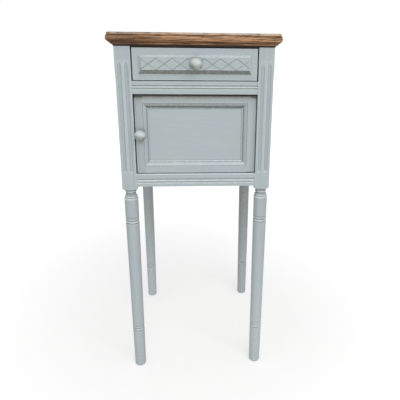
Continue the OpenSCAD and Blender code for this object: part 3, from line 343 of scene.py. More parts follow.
def make_leg(name, centre_x, centre_y, node, fluted, low_neck, chipped, soot_and_shade, rub_and_light_low):
    """At each height the leg's outline is a square with rounded corners, drawn in to the radius of the
    turning where that is smaller. The flutes push the front face in, and the points on it move
    sideways with the height, so that one always lies on each flute's edge. low_neck is how much lower
    than on its fellows the lip and the collar were turned. chipped gives the height of bare wood, its
    reach up and down, its place beside the axis and its reach there. The last two arguments are the
    darkening under the square, dirt with painted shade from the case above, fading out downwards, and
    how much paler the paint is made towards the foot, rubbed paint with painted light."""
    lathe = turned_outline()
    arris, hollow = turned_marks(lathe[:, 0])
    lip, collar = low_neck
    knots = np.array([0, 435, 475, 483, 490.2, 494.7, 498, 520])
    lowered = np.array([0, 0, lip, lip, collar, collar, 0, 0])
    lathe[:, 0] = np.interp(lathe[:, 0], knots, knots - lowered)
    rounding = flute_low - flute_half_w * np.cos(np.deg2rad(np.linspace(0, 90, 10)))
    point = flute_high + flute_point * np.linspace(0, 1, 12)
    upward = np.concatenate([[520, 535], rounding, np.linspace(552, 772, 12), point, [790, 816, leg_top]])
    heights = np.concatenate([lathe[:, 0], upward])
    radii = np.concatenate([lathe[:, 1], np.full(len(upward), 99.0)])
    count = len(heights)
    turned_below, flutes_from, flutes_to = 530, 538, 789

    face_points, corner_points = 21, 5
    angle = np.deg2rad(np.linspace(-41, 41, face_points))
    plain = np.stack([leg_half * np.tan(angle), np.full(face_points, -leg_half)], 1)
    face = np.broadcast_to(plain, (count, face_points, 2))
    depth, flute_edge = np.zeros((count, face_points)), np.zeros(face_points)
    if fluted:
        half_w, radius = flute_width(heights)
        half_w = np.where(heights < turned_below, flute_half_w, np.maximum(half_w, 0.3))[:, None]
        share = np.linspace(-1, 1, 19)[None]
        chord = np.clip(radius[:, None] ** 2 - (half_w * share) ** 2, 0, None)
        deep = np.clip(np.sqrt(chord) - (flute_r - flute_cut), 0, None)
        deep = np.where(heights[:, None] > turned_below, deep, 0)
        margin = np.array([[-15.0, -13.2]]) + np.zeros((count, 1))
        gap = np.zeros((count, 1))
        left_flute, right_flute = -flute_x + half_w * share, flute_x + half_w * share
        x = np.concatenate([margin, left_flute, gap, right_flute, -margin[:, ::-1]], 1)
        face = np.stack([x, np.full_like(x, -leg_half)], -1)
        depth = np.concatenate([0 * margin, deep, gap, deep, 0 * margin], 1)
        edge = (np.abs(share[0]) > 0.99) * flute_wear
        flute_edge = np.concatenate([[0, 0], edge, [0], edge, [0, 0]])

    turn = np.linspace(0, np.pi / 2, corner_points)
    inner = leg_half - leg_arris_r
    corner = np.stack([inner + leg_arris_r * np.sin(turn), -inner - leg_arris_r * np.cos(turn)], 1)
    quarter_turn = np.array([[0.0, 1.0], [-1.0, 0.0]])
    parts = [face, np.broadcast_to(corner, (count, corner_points, 2))]
    marks = [flute_edge, np.full(corner_points, corner_wear)]
    for times in (1, 2, 3):
        spin = np.linalg.matrix_power(quarter_turn, times)
        parts += [np.broadcast_to(side @ spin, (count, len(side), 2)) for side in (plain, corner)]
        marks += [np.zeros(face_points), np.full(corner_points, corner_wear)]
    outline, mark = np.concatenate(parts, 1), np.concatenate(marks)
    depth = np.pad(depth, ((0, 0), (0, outline.shape[1] - depth.shape[1])))

    reach_out = np.linalg.norm(outline, axis=2)
    outline = outline * (np.minimum(reach_out, radii[:, None]) / reach_out)[..., None]
    rings = np.stack([centre_x + outline[..., 0], centre_y + outline[..., 1] + depth,
                      np.broadcast_to(heights[:, None], reach_out.shape)], -1)

    arris, hollow = (np.pad(values, (0, len(upward))) for values in (arris, hollow))
    on_face = np.abs(outline[..., 0]) < inner
    beyond_flutes = (heights < flutes_from) | (heights > flutes_to)
    square = (radii > 20)[:, None] & ~(on_face & beyond_flutes[:, None])
    bare_z, bare_h, bare_x, bare_w = chipped
    bare = close_to(heights, [bare_z], bare_h)[:, None] * close_to(outline[..., 0], [bare_x], bare_w)
    bare = bare * (outline[..., 1] < 0)
    # Darker paint under the square, dirt with painted shade from the case above
    hollow = hollow + soot_and_shade * np.clip((heights - 60) / 340, 0, 1) * (heights < 499)
    # Paler paint towards the foot, rubbed paint with painted light on the lower legs
    arris = arris + rub_and_light_low * np.clip((450 - heights) / 350, 0, 1)
    # Paler paint on the rounded lower end of a flute: rubbed paint and a painted highlight where it faces up
    flute_end_rub_and_highlight = 0.7 * close_to(heights, [flute_low - 2.8], 2.2)[:, None] * (depth > 0.7)
    put_piece(name, rings,
              {"arris": mark[None] * square + arris[:, None] + flute_end_rub_and_highlight,
               "hollow": hollow[:, None] + 0.15 * depth / flute_cut, "bare": 1.6 * bare},
              paint_z, "case", "grey_blue_paint", node)


make_leg("front_left_turned_leg", -leg_x, front_leg_y, "front_left_leg", fluted=True, low_neck=(2.4, 0.0),
         chipped=(484.8, 3.2, 0.0, 3.6), soot_and_shade=0.0, rub_and_light_low=0.2)
make_leg("front_right_turned_leg", leg_x, front_leg_y, "front_right_leg", fluted=True, low_neck=(0.5, 2.7),
         chipped=(488.6, 3.0, -12.0, 5.0), soot_and_shade=0.0, rub_and_light_low=0.35)
make_leg("back_left_turned_leg", -leg_x, back_leg_y, "back_left_leg", fluted=False, low_neck=(1.0, 1.0),
         chipped=(488.4, 2.4, -1.0, 30.0), soot_and_shade=0.2, rub_and_light_low=0.62)
make_leg("back_right_turned_leg", leg_x, back_leg_y, "back_right_leg", fluted=False, low_neck=(0.0, 0.0),
         chipped=(489.0, 2.4, -1.0, 30.0), soot_and_shade=0.65, rub_and_light_low=0.3)

# ---- Rails of the case ----
# Beech rails tenoned into the legs and painted with them. The two front ones have a pair of V grooves
# run along them with a scratch stock, which leaves a bead between them.


def softened(corners, radius, margin, steps=4):
    """Outline of a section with an arc at each corner, and a point a margin before and after each arc.
    An arc's middle lies on the line that halves the corner, its radius over the sine of half the angle
    away. Also gives each point's edge value: 1 on an outer arc, -1 on an inner one and 0 beside them."""
    corners = np.asarray(corners, float)
    onward = np.roll(corners, -1, 0)
    if (onward[:, 1] * corners[:, 0] - onward[:, 0] * corners[:, 1]).sum() < 0:
        corners = corners[::-1]
        radius, margin = (np.broadcast_to(each, len(corners))[::-1] for each in (radius, margin))
    radius, margin = (np.broadcast_to(each, len(corners)).astype(float)[:, None] for each in (radius, margin))
    back, on = np.roll(corners, 1, 0) - corners, np.roll(corners, -1, 0) - corners
    back, on = (way / np.linalg.norm(way, axis=1, keepdims=True) for way in (back, on))
    half = np.arccos(np.clip((back * on).sum(1, keepdims=True), -1, 1)) / 2
    run = radius / np.tan(half)
    halving = (back + on) / np.linalg.norm(back + on, axis=1, keepdims=True)
    middle = corners + halving * radius / np.sin(half)
    start, end = (corners + side * run - middle for side in (back, on))
    share = np.linspace(0, 1, steps + 1)[None, :, None]
    turn = (np.pi - 2 * half)[:, None]
    swing = np.sin((1 - share) * turn) * start[:, None] + np.sin(share * turn) * end[:, None]
    before, after = ((corners + side * (run + margin))[:, None] for side in (back, on))
    outer = np.sign(on[:, 0] * back[:, 1] - on[:, 1] * back[:, 0])[:, None] * np.ones(steps + 1)
    edge = np.concatenate([0 * outer[:, :1], outer, 0 * outer[:, :1]], 1)
    outline = np.concatenate([before, middle[:, None] + swing / np.sin(turn), after], 1)
    return outline.reshape(-1, 2), edge.ravel()


def spaced(section, edge, longest):
    """A closed outline with further points on its long sides, none more than a length apart, so that
    dirt and wear can change along them."""
    length = np.linalg.norm(np.roll(section, -1, 0) - section, axis=1)
    parts = np.maximum(np.ceil(length / longest), 1).astype(int)
    first = np.repeat(np.arange(len(section)), parts)
    share = (np.arange(parts.sum()) - np.repeat(np.cumsum(parts) - parts, parts)) / np.repeat(parts, parts)
    closed = np.column_stack([np.vstack([section, section[:1]]), np.append(edge, edge[0])])
    rows = closed[first] + (closed[first + 1] - closed[first]) * share[:, None]
    return rows[:, :2], rows[:, 2]


def carried(section, edge, along, start, stop, end_r, longest=6.0):
    """Rings of a section carried from start to stop along one axis, about longest apart. At both ends
    the section is drawn in along its own normals by a quarter circle of radius end_r, so the end faces
    have rounded arrises too. Gives the rings and their arris and hollow values."""
    onward = np.roll(section, -1, 0) - np.roll(section, 1, 0)
    normal = np.stack([onward[:, 1], -onward[:, 0]], 1) / np.linalg.norm(onward, axis=1)[:, None]
    quarter, margin = np.linspace(np.pi / 2, 0, 4), 0.8
    inset, step = end_r * (1 - np.cos(quarter)), end_r * (1 - np.sin(quarter))
    inner_count = max(int((stop - start) / longest), 2)
    inner = np.linspace(start + end_r + margin, stop - end_r - margin, inner_count)
    places = np.concatenate([start + step, inner, (stop - step)[::-1]])
    insets = np.concatenate([inset, 0 * inner, inset[::-1]])
    flat = section[None] - insets[:, None, None] * normal[None]
    rings = np.empty((*flat.shape[:2], 3))
    rings[..., along] = places[:, None]
    rings[..., [i for i in range(3) if i != along]] = flat
    at_end = np.concatenate([[1, 1, 1, 0.5], 0 * inner, [0.5, 1, 1, 1]])[:, None] * (end_r > 0.3)
    arris = np.maximum(np.clip(edge, 0, 1)[None], at_end)
    return rings, arris, np.clip(-edge, 0, 1)[None] * (insets == 0)[:, None]


def board(name, low, high, along, radius, end_r, material, body, slot, *nodes, dirt_and_shade=None,
          longest=6.0, wear=0.35):
    """A planed board between two corners, with softened arrises. radius is one value, or one for each
    corner of its section in the order low-low, high-low, high-high, low-high. The function given for
    dirt, if any, gives the dirt and painted shade at each point, and wear is how much paler the arrises
    are made."""
    a, b = [i for i in range(3) if i != along]
    corners = [[low[a], low[b]], [high[a], low[b]], [high[a], high[b]], [low[a], high[b]]]
    section, edge = spaced(*softened(corners, radius, margin=0.8), min(longest, 4.0))
    rings, arris, hollow = carried(section, edge, along, low[along], high[along], end_r, longest)
    if dirt_and_shade is not None:
        hollow = hollow + dirt_and_shade(rings)
    put_piece(name, rings, {"arris": wear * arris, "hollow": hollow}, material, body, slot, *nodes)


def node_mm(node):
    """Lowest and highest corner of a CAD node, in millimetres."""
    return [np.array(corner) * 1000 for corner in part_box(node)]


# Inner faces of the legs, and how far the rails' ends are drawn into them
leg_in, front_leg_in, back_leg_in = leg_x - leg_half, front_leg_y + leg_half, back_leg_y - leg_half
rail_end_in = 2.0


def grooved_rail(name, node, lift, pitch, top_rub_and_highlight, lip_rub_and_highlight, low_painted_shade):
    """Section of the rail with two V grooves in its front face, each 45 degrees a side, carried across
    from leg to leg. lift raises the pair over the middle of the rail, and pitch is the distance between
    the two. The next two arguments make the paint paler on its upper arris and on the lower edge of the
    lower groove, rubbed paint and a painted highlight, and the last darkens its lower arris with painted
    shade over the gap below."""
    low, high = node_mm(node)
    cut = 2.2
    middle, front, back = (low[2] + high[2]) / 2 + lift, low[1], high[1]
    places = (middle + pitch / 2, middle - pitch / 2)
    grooves = [[[front, z + cut], [front + cut, z], [front, z - cut]] for z in places]
    corners = [[front, low[2]], [back, low[2]], [back, high[2]], [front, high[2]], *grooves[0], *grooves[1]]
    # In the order of the corners: the rail's four arrises, then each groove's two edges and its bottom
    radius = [0.9, 1.2, 1.2, 1.9, 0.35, 0.1, 0.5, 0.5, 0.1, 0.35]
    margin = [0.4, 0.4, 0.4, 0.4, 0.2, 0.75, 0.2, 0.2, 0.75, 0.6]
    section, edge = spaced(*softened(corners, radius, margin), 5.0)
    rings, arris, hollow = carried(section, edge, 0, -leg_in - rail_end_in, leg_in + rail_end_in, 0.2)
    y, z = rings[..., 1], rings[..., 2]
    above, below = z > high[2] - 2, z < low[2] + 1.2
    bead = (np.abs(z - middle) < pitch / 2 - cut * 0.6) & (y < front + 0.9)
    lip = close_to(z, [middle - pitch / 2 - cut + 0.4], 1.3) * (y < front + 1.4)
    # Paler paint on the upper arris, the bead and the lip is rubbed paint with a painted highlight; the
    # darker lower arris is painted shade
    arris = np.where(above, arris * top_rub_and_highlight, np.where(below, arris * 0.3, arris))
    arris = arris + 0.6 * bead + lip_rub_and_highlight * lip
    hollow = 0.95 * hollow + low_painted_shade * below * (y < front + 2)
    put_piece(name, rings, {"arris": arris, "hollow": hollow}, paint_x, "case", "grey_blue_paint", node)


grooved_rail("grooved_drawer_rail", "drawer_rail", lift=1.5, pitch=5.6, top_rub_and_highlight=0.2, lip_rub_and_highlight=0.2,
             low_painted_shade=1.0)
grooved_rail("grooved_bottom_rail", "front_bottom_rail", lift=-1.2, pitch=7.1, top_rub_and_highlight=1.3, lip_rub_and_highlight=1.2,
             low_painted_shade=0.0)

for node in ("back_top_rail", "back_bottom_rail"):
    low, high = node_mm(node)
    low[0], high[0] = -leg_in - rail_end_in, leg_in + rail_end_in
    board(f"planed_{node}", low, high, 0, 1.0, 1.0, paint_x, "case", "grey_blue_paint", node)
for node in ("left_side_top_rail", "right_side_top_rail", "left_side_bottom_rail",
             "right_side_bottom_rail"):
    low, high = node_mm(node)
    low[1], high[1] = front_leg_in - rail_end_in, back_leg_in + rail_end_in
    board(f"planed_{node}", low, high, 1, 1.0, 1.0, paint_y, "case", "grey_blue_paint", node)

# ---- Panels of the case ----
# Flat thin boards held in grooves of the legs and rails, and painted with them. They keep the model's
# own shape and get the paint.


def finish_nodes(material, *nodes):
    """Gives a material to nodes that keep the model's own shape."""
    for node in nodes:
        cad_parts[node].material_slots[0].material = material


finish_nodes(paint_z, "left_side_panel", "right_side_panel", "back_panel")

# ---- Inside of the case ----
# Unpainted pine, planed and a little yellowed: runners, guides, kickers, stops, cleats, the dust board
# under the drawer and the floor of the cupboard. The flat rail over the drawer gets a near-black pine
# colour, painted shade, so that the gap there looks black.


def bare_pine(name, grain, pale="#c9a573", deep="#b98f5e", ring="#94683c"):
    """Planed pine, yellowed by age. To the eye: straw colour, with darker rings drawn out along the
    grain axis about 8 mm apart, fine pores under 2 mm apart, and a dull surface."""
    material, tree, output = new_material(name)
    place = add(tree, "ShaderNodeTexCoord").outputs["Object"]
    stretch = [1.0, 1.0, 1.0]
    stretch[grain] = 0.06
    along = add(tree, "ShaderNodeMapping", {"Vector": place, "Scale": stretch}).outputs[0]
    sway = add(tree, "ShaderNodeTexNoise", {"Vector": along, "Scale": 18, "Detail": 2})
    rings = add(tree, "ShaderNodeTexNoise", {"Vector": along, "Scale": 120, "Detail": 3, "Distortion": 0.6})
    pores = add(tree, "ShaderNodeTexNoise", {"Vector": along, "Scale": 600, "Detail": 2})
    broad = add(tree, "ShaderNodeMix", {0: sway.outputs["Fac"], 6: linear(pale), 7: linear(deep)},
                data_type="RGBA")
    late = add(tree, "ShaderNodeMapRange", {0: rings.outputs["Fac"], 1: 0.45, 2: 0.65, 3: 0.0, 4: 0.55})
    ringed = add(tree, "ShaderNodeMix", {0: late.outputs[0], 6: broad.outputs[2], 7: linear(ring)},
                 data_type="RGBA")
    bump = add(tree, "ShaderNodeBump",
               {"Height": pores.outputs["Fac"], "Strength": 0.3, "Distance": 0.0003})
    skin = add(tree, "ShaderNodeBsdfPrincipled",
               {"Base Color": ringed.outputs[2], "Roughness": 0.62, "Normal": bump.outputs[0], "IOR": 1.5})
    tree.links.new(skin.outputs[0], output.inputs["Surface"])
    return material


pine_x = bare_pine("planed_pine_across", 0)
pine_y = bare_pine("planed_pine_front_to_back", 1)
# Near-black pine colour: painted shade for the rail seen through the gap over the drawer
shade_dark_pine = bare_pine("smoked_pine_across", 0, pale="#4a3b2c", deep="#3c2f22", ring="#2a2018")
finish_nodes(shade_dark_pine, "front_top_rail")
finish_nodes(pine_x, "drawer_stops", "cupboard_floor", "dust_board")
finish_nodes(pine_y, "left_drawer_runner", "right_drawer_runner", "left_drawer_guide", "right_drawer_guide",
             "left_kicker", "right_kicker", "left_floor_cleat", "right_floor_cleat")

# ---- Top board ----
# Oak, stained brown and waxed, with a moulded edge on three sides: a rounded lip, a thin quirk, a wide
# nose, a slope and a small bead. It is held by screws from below.


def waxed_oak(name):
    """Stained oak, waxed by hand. To the eye: mid brown with long dark streaks across the front, orange
    and darker zones, paler where the lip is rubbed, partly a painted highlight, and nearly black where
    wax fills the quirk and under the edge, where the black is painted shade."""
    material, tree, output = new_material(name)
    place = add(tree, "ShaderNodeTexCoord").outputs["Object"]
    # Rings are drawn 2.6 mm apart and pores 1.1 mm, both coarser than in real oak, to show at this size
    along = add(tree, "ShaderNodeMapping", {"Vector": place, "Scale": (0.036, 1.0, 1.0)}).outputs[0]
    sway = add(tree, "ShaderNodeTexNoise", {"Vector": along, "Scale": 60, "Detail": 2, "Roughness": 0.5})
    rings = add(tree, "ShaderNodeTexNoise", {"Vector": along, "Scale": 380, "Detail": 4, "Roughness": 0.6,
                                             "Distortion": 0.5})
    pores = add(tree, "ShaderNodeTexNoise", {"Vector": along, "Scale": 900, "Detail": 3, "Roughness": 0.7})
    blotch = add(tree, "ShaderNodeTexNoise", {"Vector": place, "Scale": 45, "Detail": 3, "Roughness": 0.6})
    zone = add(tree, "ShaderNodeMapRange", {0: sway.outputs["Fac"], 1: 0.32, 2: 0.68})
    warm = add(tree, "ShaderNodeMix", {0: zone.outputs[0], 6: linear("#dfad7c"), 7: linear("#bf8b5c")},
               data_type="RGBA")
    # The left end is greyer and darker than the rest
    side = add(tree, "ShaderNodeSeparateXYZ", {0: place}).outputs[0]
    left_end = add(tree, "ShaderNodeMapRange", {0: side, 1: -0.17, 2: -0.03, 3: 0.6, 4: 0.0})
    toned = add(tree, "ShaderNodeMix", {0: left_end.outputs[0], 6: warm.outputs[2], 7: linear("#5a4436")},
                data_type="RGBA")
    late = add(tree, "ShaderNodeMapRange", {0: rings.outputs["Fac"], 1: 0.47, 2: 0.56, 3: 0.0, 4: 1.0})
    ringed = add(tree, "ShaderNodeMix", {0: late.outputs[0], 6: toned.outputs[2], 7: linear("#5f3d22")},
                 data_type="RGBA")
    fleck = add(tree, "ShaderNodeMapRange", {0: pores.outputs["Fac"], 1: 0.5, 2: 0.6, 3: 0.0, 4: 0.8})
    flecked = add(tree, "ShaderNodeMix", {0: fleck.outputs[0], 6: ringed.outputs[2], 7: linear("#3a2513")},
                  data_type="RGBA")
    arris = add(tree, "ShaderNodeAttribute", attribute_name="arris").outputs["Fac"]
    hollow = add(tree, "ShaderNodeAttribute", attribute_name="hollow").outputs["Fac"]
    broken = add(tree, "ShaderNodeMapRange", {0: blotch.outputs["Fac"], 1: 0.4, 2: 0.62, 3: 0.2, 4: 0.8})
    rub_and_painted_highlight = add(tree, "ShaderNodeMath", {0: arris, 1: broken.outputs[0]}, operation="MULTIPLY")
    rubbed_and_highlit = add(tree, "ShaderNodeMix", {0: rub_and_painted_highlight.outputs[0], 6: flecked.outputs[2], 7: linear("#d6c6b8")},
                 data_type="RGBA")
    # The hollow mark darkens to near black: wax in the quirk, and painted shade under the edge
    wax_and_shade = add(tree, "ShaderNodeMath", {0: hollow, 1: 0.98}, operation="MULTIPLY")
    dark_wax_and_shade = add(tree, "ShaderNodeMix", {0: wax_and_shade.outputs[0], 6: rubbed_and_highlit.outputs[2], 7: linear("#221206")},
                   data_type="RGBA")
    gloss = add(tree, "ShaderNodeMapRange", {0: rings.outputs["Fac"], 1: 0.3, 2: 0.7, 3: 0.46, 4: 0.62})
    relief = add(tree, "ShaderNodeMath", {0: pores.outputs["Fac"], 1: rings.outputs["Fac"]},
                 operation="ADD")
    bump = add(tree, "ShaderNodeBump", {"Height": relief.outputs[0], "Strength": 0.7, "Distance": 0.001})
    skin = add(tree, "ShaderNodeBsdfPrincipled",
               {"Base Color": dark_wax_and_shade.outputs[2], "Roughness": gloss.outputs[0], "Normal": bump.outputs[0],
                "IOR": 1.5, "Specular IOR Level": 0.3})
    tree.links.new(skin.outputs[0], output.inputs["Surface"])
    return material


oak = waxed_oak("waxed_stained_oak")


def top_edge():
    """Insets and heights down the moulded edge, as arcs joined by straight lines, with its hollow and
    arris values in the last two columns."""

    def run(inset, height, radius, start, end, steps, hollow, arris):
        """Points of an arc round a middle at an inset and a height, from one angle to another."""
        turn = np.deg2rad(np.linspace(start, end, steps))
        rest = np.broadcast_to([hollow, arris], (steps, 2))
        return np.column_stack([inset + radius * np.cos(turn), height + radius * np.sin(turn), rest])

    lip = run(5.6, 24.6, 3.4, 90, 180, 9, 0.0, 0.9)
    quirk = [[2.2, 23.8, 0.0, 0.4], [2.3, 23.4, 0.6, 0.0], [3.5, 23.05, 1.0, 0.0], [1.95, 22.75, 0.6, 0.0]]
    nose = [*run(8.0, 17.5, 8.0, 137, 162, 7, 0.2, 0.0), *run(8.0, 17.5, 8.0, 166, 182, 6, 0.0, 0.2),
            *run(3.6, 14.2, 3.55, 190, 228, 7, 0.05, 0.0)]
    share = np.linspace(0.1, 0.95, 5)[:, None]
    slope = share * [5.05, -4.7, 0.25, 0.0] + [1.25, 11.6, 0.35, 0.0]
    step = [[6.4, 7.2, 1.0, 0.0], [7.4, 7.1, 0.7, 0.0]]
    bead = run(8.9, 5.6, 1.65, 120, 262, 10, 0.25, 0.1)
    # From the bead inwards the edge and the underside get the wax's near black, painted shade over the gap
    underside = [[9.6, 3.9, 1.0, 0.0], [11.2, 3.7, 1.0, 0.0], [11.35, 3.3, 1.0, 0.0], [11.4, 1.7, 1.0, 0.0],
                 [12.0, 1.4, 1.0, 0.0], [13.0, 1.3, 1.0, 0.0], [13.0, 0.0, 1.0, 0.0]]
    return np.concatenate([lip, quirk, nose, slope, step, bead, underside])


def make_top():
    """Rings of the top: each is its plan drawn in on three sides by the inset of the moulding, with
    rounded front corners. The upper and lower faces go on inwards to two flat faces that close them."""
    low, high = node_mm("top_board")
    thick = 28.0
    # The underside beyond the edge is darkened too, painted shade
    above, below = [[30, thick, 0, 0], [9, thick, 0, 0]], [[16, 0, 1, 0], [30, 0, 1, 0]]
    edge = np.concatenate([above, top_edge(), below])
    inset, corner_r = edge[:, :1], 3.0
    left, right, front, back = low[0] + inset, high[0] - inset, low[1] + inset, high[1] + 0 * inset
    run, turn = np.linspace(0, 1, 62)[None, 1:-1], np.linspace(0, np.pi / 2, 8)[None]
    near, far = corner_r * (1 - np.sin(turn)), corner_r * (1 - np.cos(turn))
    depth = front + corner_r + (back - front - corner_r) * run[:, ::2]
    xs = [left, left + 0 * depth, left + far, left + corner_r + (right - left - 2 * corner_r) * run,
          right - near, right + 0 * depth, right]
    ys = [back, depth[:, ::-1], front + near, front + 0 * run, front + far, depth, back]
    x, y = np.concatenate(xs, 1), np.concatenate(ys, 1)
    rings = np.stack([x, y, np.broadcast_to(low[2] + edge[:, 1:2], x.shape)], -1)
    marks = {"arris": edge[:, 3:4], "hollow": edge[:, 2:3]}
    put_piece("moulded_top", rings, marks, oak, "case", "stained_wood", "top_board")


make_top()

# ---- Door ----
# A frame of two stiles and two rails, mortised together, round a flat panel held in its grooves. A
# small moulding, mitred at the corners, is planted round the panel. All is painted with the case.

# Half the width of the closed door and the height of its top, the corners of its frame's opening, and
# how much narrower the gaps round it show than the model's
door_x, door_top = 135.3, 715.3
door_open_low, door_open_high = (-117.2, 553.9), (116.2, 697.8)
gap_fill = 0.6


def door_dirt_and_painted_shade(points):
    """Darkening under the rail over the door, on the two stiles and under the knob: painted shade, with
    some dirt. It falls off exponentially from the top edge, evenly from the sides, most on the rounded
    pivot side, and in a round patch below the knob, the knob's painted shadow. The edges of the door
    are darkened near the front only, painted shade that makes the gaps read dark."""
    knob_x, knob_low, front_face, clean_from = -124.5, 613, -158, -154
    x, y, down = points[..., 0], points[..., 1], door_top - points[..., 2]
    from_top = np.minimum(2.2 * np.exp(-down / 4.1) + 0.27 * np.exp(-down / 18), 0.88) + 0.2 * (down < 3.6)
    from_top = from_top * np.clip((clean_from - y) / 7, 0.15, 1)
    latch_side, pivot_side = np.clip(1 - (door_x + x) / 9, 0, 1), np.clip(1 - (door_x - x) / 18, 0, 1)
    on_stiles = 0.18 * (x < door_open_low[0] + 0.1) + 0.12 * latch_side + 0.42 * pivot_side ** 1.5
    under_knob = 0.6 * np.exp(-((x - knob_x) / 9) ** 2 - ((door_top - down - knob_low) / 6) ** 2)
    return np.clip(from_top + np.clip(on_stiles + under_knob, 0, 0.8) * (y < front_face), 0, 1)


low, high = node_mm("door_latch_stile")
high[0], low[2] = door_open_low[0], low[2] - gap_fill
board("planed_latch_stile", low, high, 2, [2.0, 0.4, 0.8, 1.0], 0.8, paint_z, "door", "grey_blue_paint",
      "door_latch_stile", dirt_and_shade=door_dirt_and_painted_shade, longest=3.0)
low, high = node_mm("door_hinge_stile")
low[0], high[0] = door_open_high[0], high[0] + gap_fill
board("planed_hinge_stile", low, high, 2, [0.4, 1.8, 1.0, 0.8], 0.8, paint_z, "door", "grey_blue_paint",
      "door_hinge_stile", dirt_and_shade=door_dirt_and_painted_shade, longest=3.0, wear=0.0)
# The edge of each rail that meets the panel is moved to the frame's opening: it is the lower edge (0)
# of the top rail and the upper edge (1) of the bottom rail
for node, inner_edge, height in (("door_top_rail", 0, door_open_high[1]),
                                 ("door_bottom_rail", 1, door_open_low[1])):
    box = node_mm(node)
    box[inner_edge][2] = height
    box[0][0], box[1][0] = door_open_low[0] + 0.05, door_open_high[0] - 0.05
    box[0][2] -= inner_edge * gap_fill
    board(f"planed_{node}", *box, 0, 0.8, 0.4, paint_x, "door", "grey_blue_paint", node, dirt_and_shade=door_dirt_and_painted_shade,
          longest=3.0)
finish_nodes(paint_x, "door_panel")


def planted_moulding(name, node, along, sign, dirt_and_shade, pale_rub_and_highlight):
    """The moulding's section carried along one side of the panel: a quarter of an ellipse that falls
    towards the panel, a thin quirk and a low bead. Each end is cut at 45 degrees: a point lies further
    in by its own distance in. sign is 1 on the lower and left sides of the opening, -1 on the others.
    The last two arguments are the moulding's dirt with painted shade, most on the upper one, which
    faces down, and its paler paint, rubbed and a painted highlight, most on the lower one."""
    back_y = node_mm(node)[1][1]
    turn, bead = np.deg2rad(np.linspace(90, 8, 12)), np.deg2rad(np.linspace(165, 0, 10))
    quirk = min(0.15 + 2.2 * dirt_and_shade, 0.9)
    # Each row holds a point's distance in, its height over the back, and its arris and hollow values
    outer_edge = [[0.0, 0.0, 0.0, 1.6 * dirt_and_shade], [0.0, 4.8, 0.0, 1.6 * dirt_and_shade], [0.35, 5.7, 0.0, dirt_and_shade]]
    fall = np.column_stack([1.2 + 7.6 * np.cos(turn), 1.3 + 4.7 * np.sin(turn),
                            pale_rub_and_highlight * (0.4 + 0.6 * np.cos(turn)), dirt_and_shade * (1 + 0.9 * np.cos(turn) ** 3)])
    dip = [[8.9, 1.2, 0.0, quirk], [9.35, 0.75, 0.0, quirk]]
    low_bead = np.column_stack([11.2 + 1.8 * np.cos(bead), 0.7 + 1.6 * np.sin(bead),
                                (0.2 + pale_rub_and_highlight) * np.sin(bead), dirt_and_shade + 0 * bead])
    inner_edge = [[13.0, 0.4, 0.0, quirk], [13.0, 0.0, 0.0, quirk]]
    section = np.concatenate([outer_edge, fall, dip, low_bead, inner_edge])
    steps = 40
    across, side = (1, 0) if along == 0 else (0, 1)
    start, stop = door_open_low[side], door_open_high[side]
    share = np.linspace(0, 1, steps)[:, None]
    rings = np.empty((steps, len(section), 3))
    rings[..., along] = start + section[:, 0] + (stop - start - 2 * section[:, 0]) * share
    rings[..., 2 - along] = (door_open_low if sign > 0 else door_open_high)[across] + sign * section[:, 0]
    rings[..., 1] = back_y - section[:, 1]
    # The left mitre of the upper moulding has opened: the shade in its crack is painted black
    open_mitre_shade = (share < 0.01) * (np.abs(section[:, 0] - 6) < 2.5) * (dirt_and_shade > 0.3)
    put_piece(name, rings, {"arris": section[:, 2], "hollow": section[:, 3] + open_mitre_shade},
              paint_x if along == 0 else paint_z, "door", "grey_blue_paint", node)


planted_moulding("lower_planted_moulding", "door_bottom_moulding", along=0, sign=1, dirt_and_shade=0.0, pale_rub_and_highlight=0.7)
planted_moulding("upper_planted_moulding", "door_top_moulding", along=0, sign=-1, dirt_and_shade=0.58, pale_rub_and_highlight=0.0)
planted_moulding("left_planted_moulding", "door_left_moulding", along=2, sign=1, dirt_and_shade=0.08, pale_rub_and_highlight=0.0)
planted_moulding("right_planted_moulding", "door_right_moulding", along=2, sign=-1, dirt_and_shade=0.2, pale_rub_and_highlight=0.0)

# ---- Drawer front ----
# A painted board with a thin raised plaque glued on. The plaque is bevelled all round, and a lattice
# of crosses is cut in its field with a parting tool.

# The gaps beside the front show 0.3 mm wider than the model's, and the gap over it 0.5 mm narrower
front_low, front_high = node_mm("drawer_front")
front_low[0], front_high[0], front_high[2] = front_low[0] + 0.3, front_high[0] - 0.3, front_high[2] + 0.5


def drawer_dirt_and_painted_shade(points):
    """Dark dirt with painted shade on the front's top edge, from its arris a few millimetres in, so the gap
    over the drawer reads black, and a painted shadow on its face under the plaque. Both fall off
    exponentially."""
    plaque_low, plaque_half_w = 761, 124
    x, y, z = points[..., 0], points[..., 1], points[..., 2]
    under = np.where(z < plaque_low + 1, np.exp(np.minimum(z - plaque_low, 0) / 8), 0)
    under = under * np.clip((plaque_half_w - np.abs(x)) / 5, 0, 1)
    inwards = np.exp(-np.maximum(y - front_low[1] - 3.5, 0) / 2.5) * (y > front_low[1] + 1.2)
    return inwards * (z > front_high[2] - 0.2) + 0.28 * under * (y < front_low[1] + 1)


board("planed_drawer_front", front_low, front_high, 0, [1.3, 1.3, 1.3, 0.9], 1.8, paint_x, "drawer",
      "grey_blue_paint", "drawer_front", dirt_and_shade=drawer_dirt_and_painted_shade, longest=3.0)


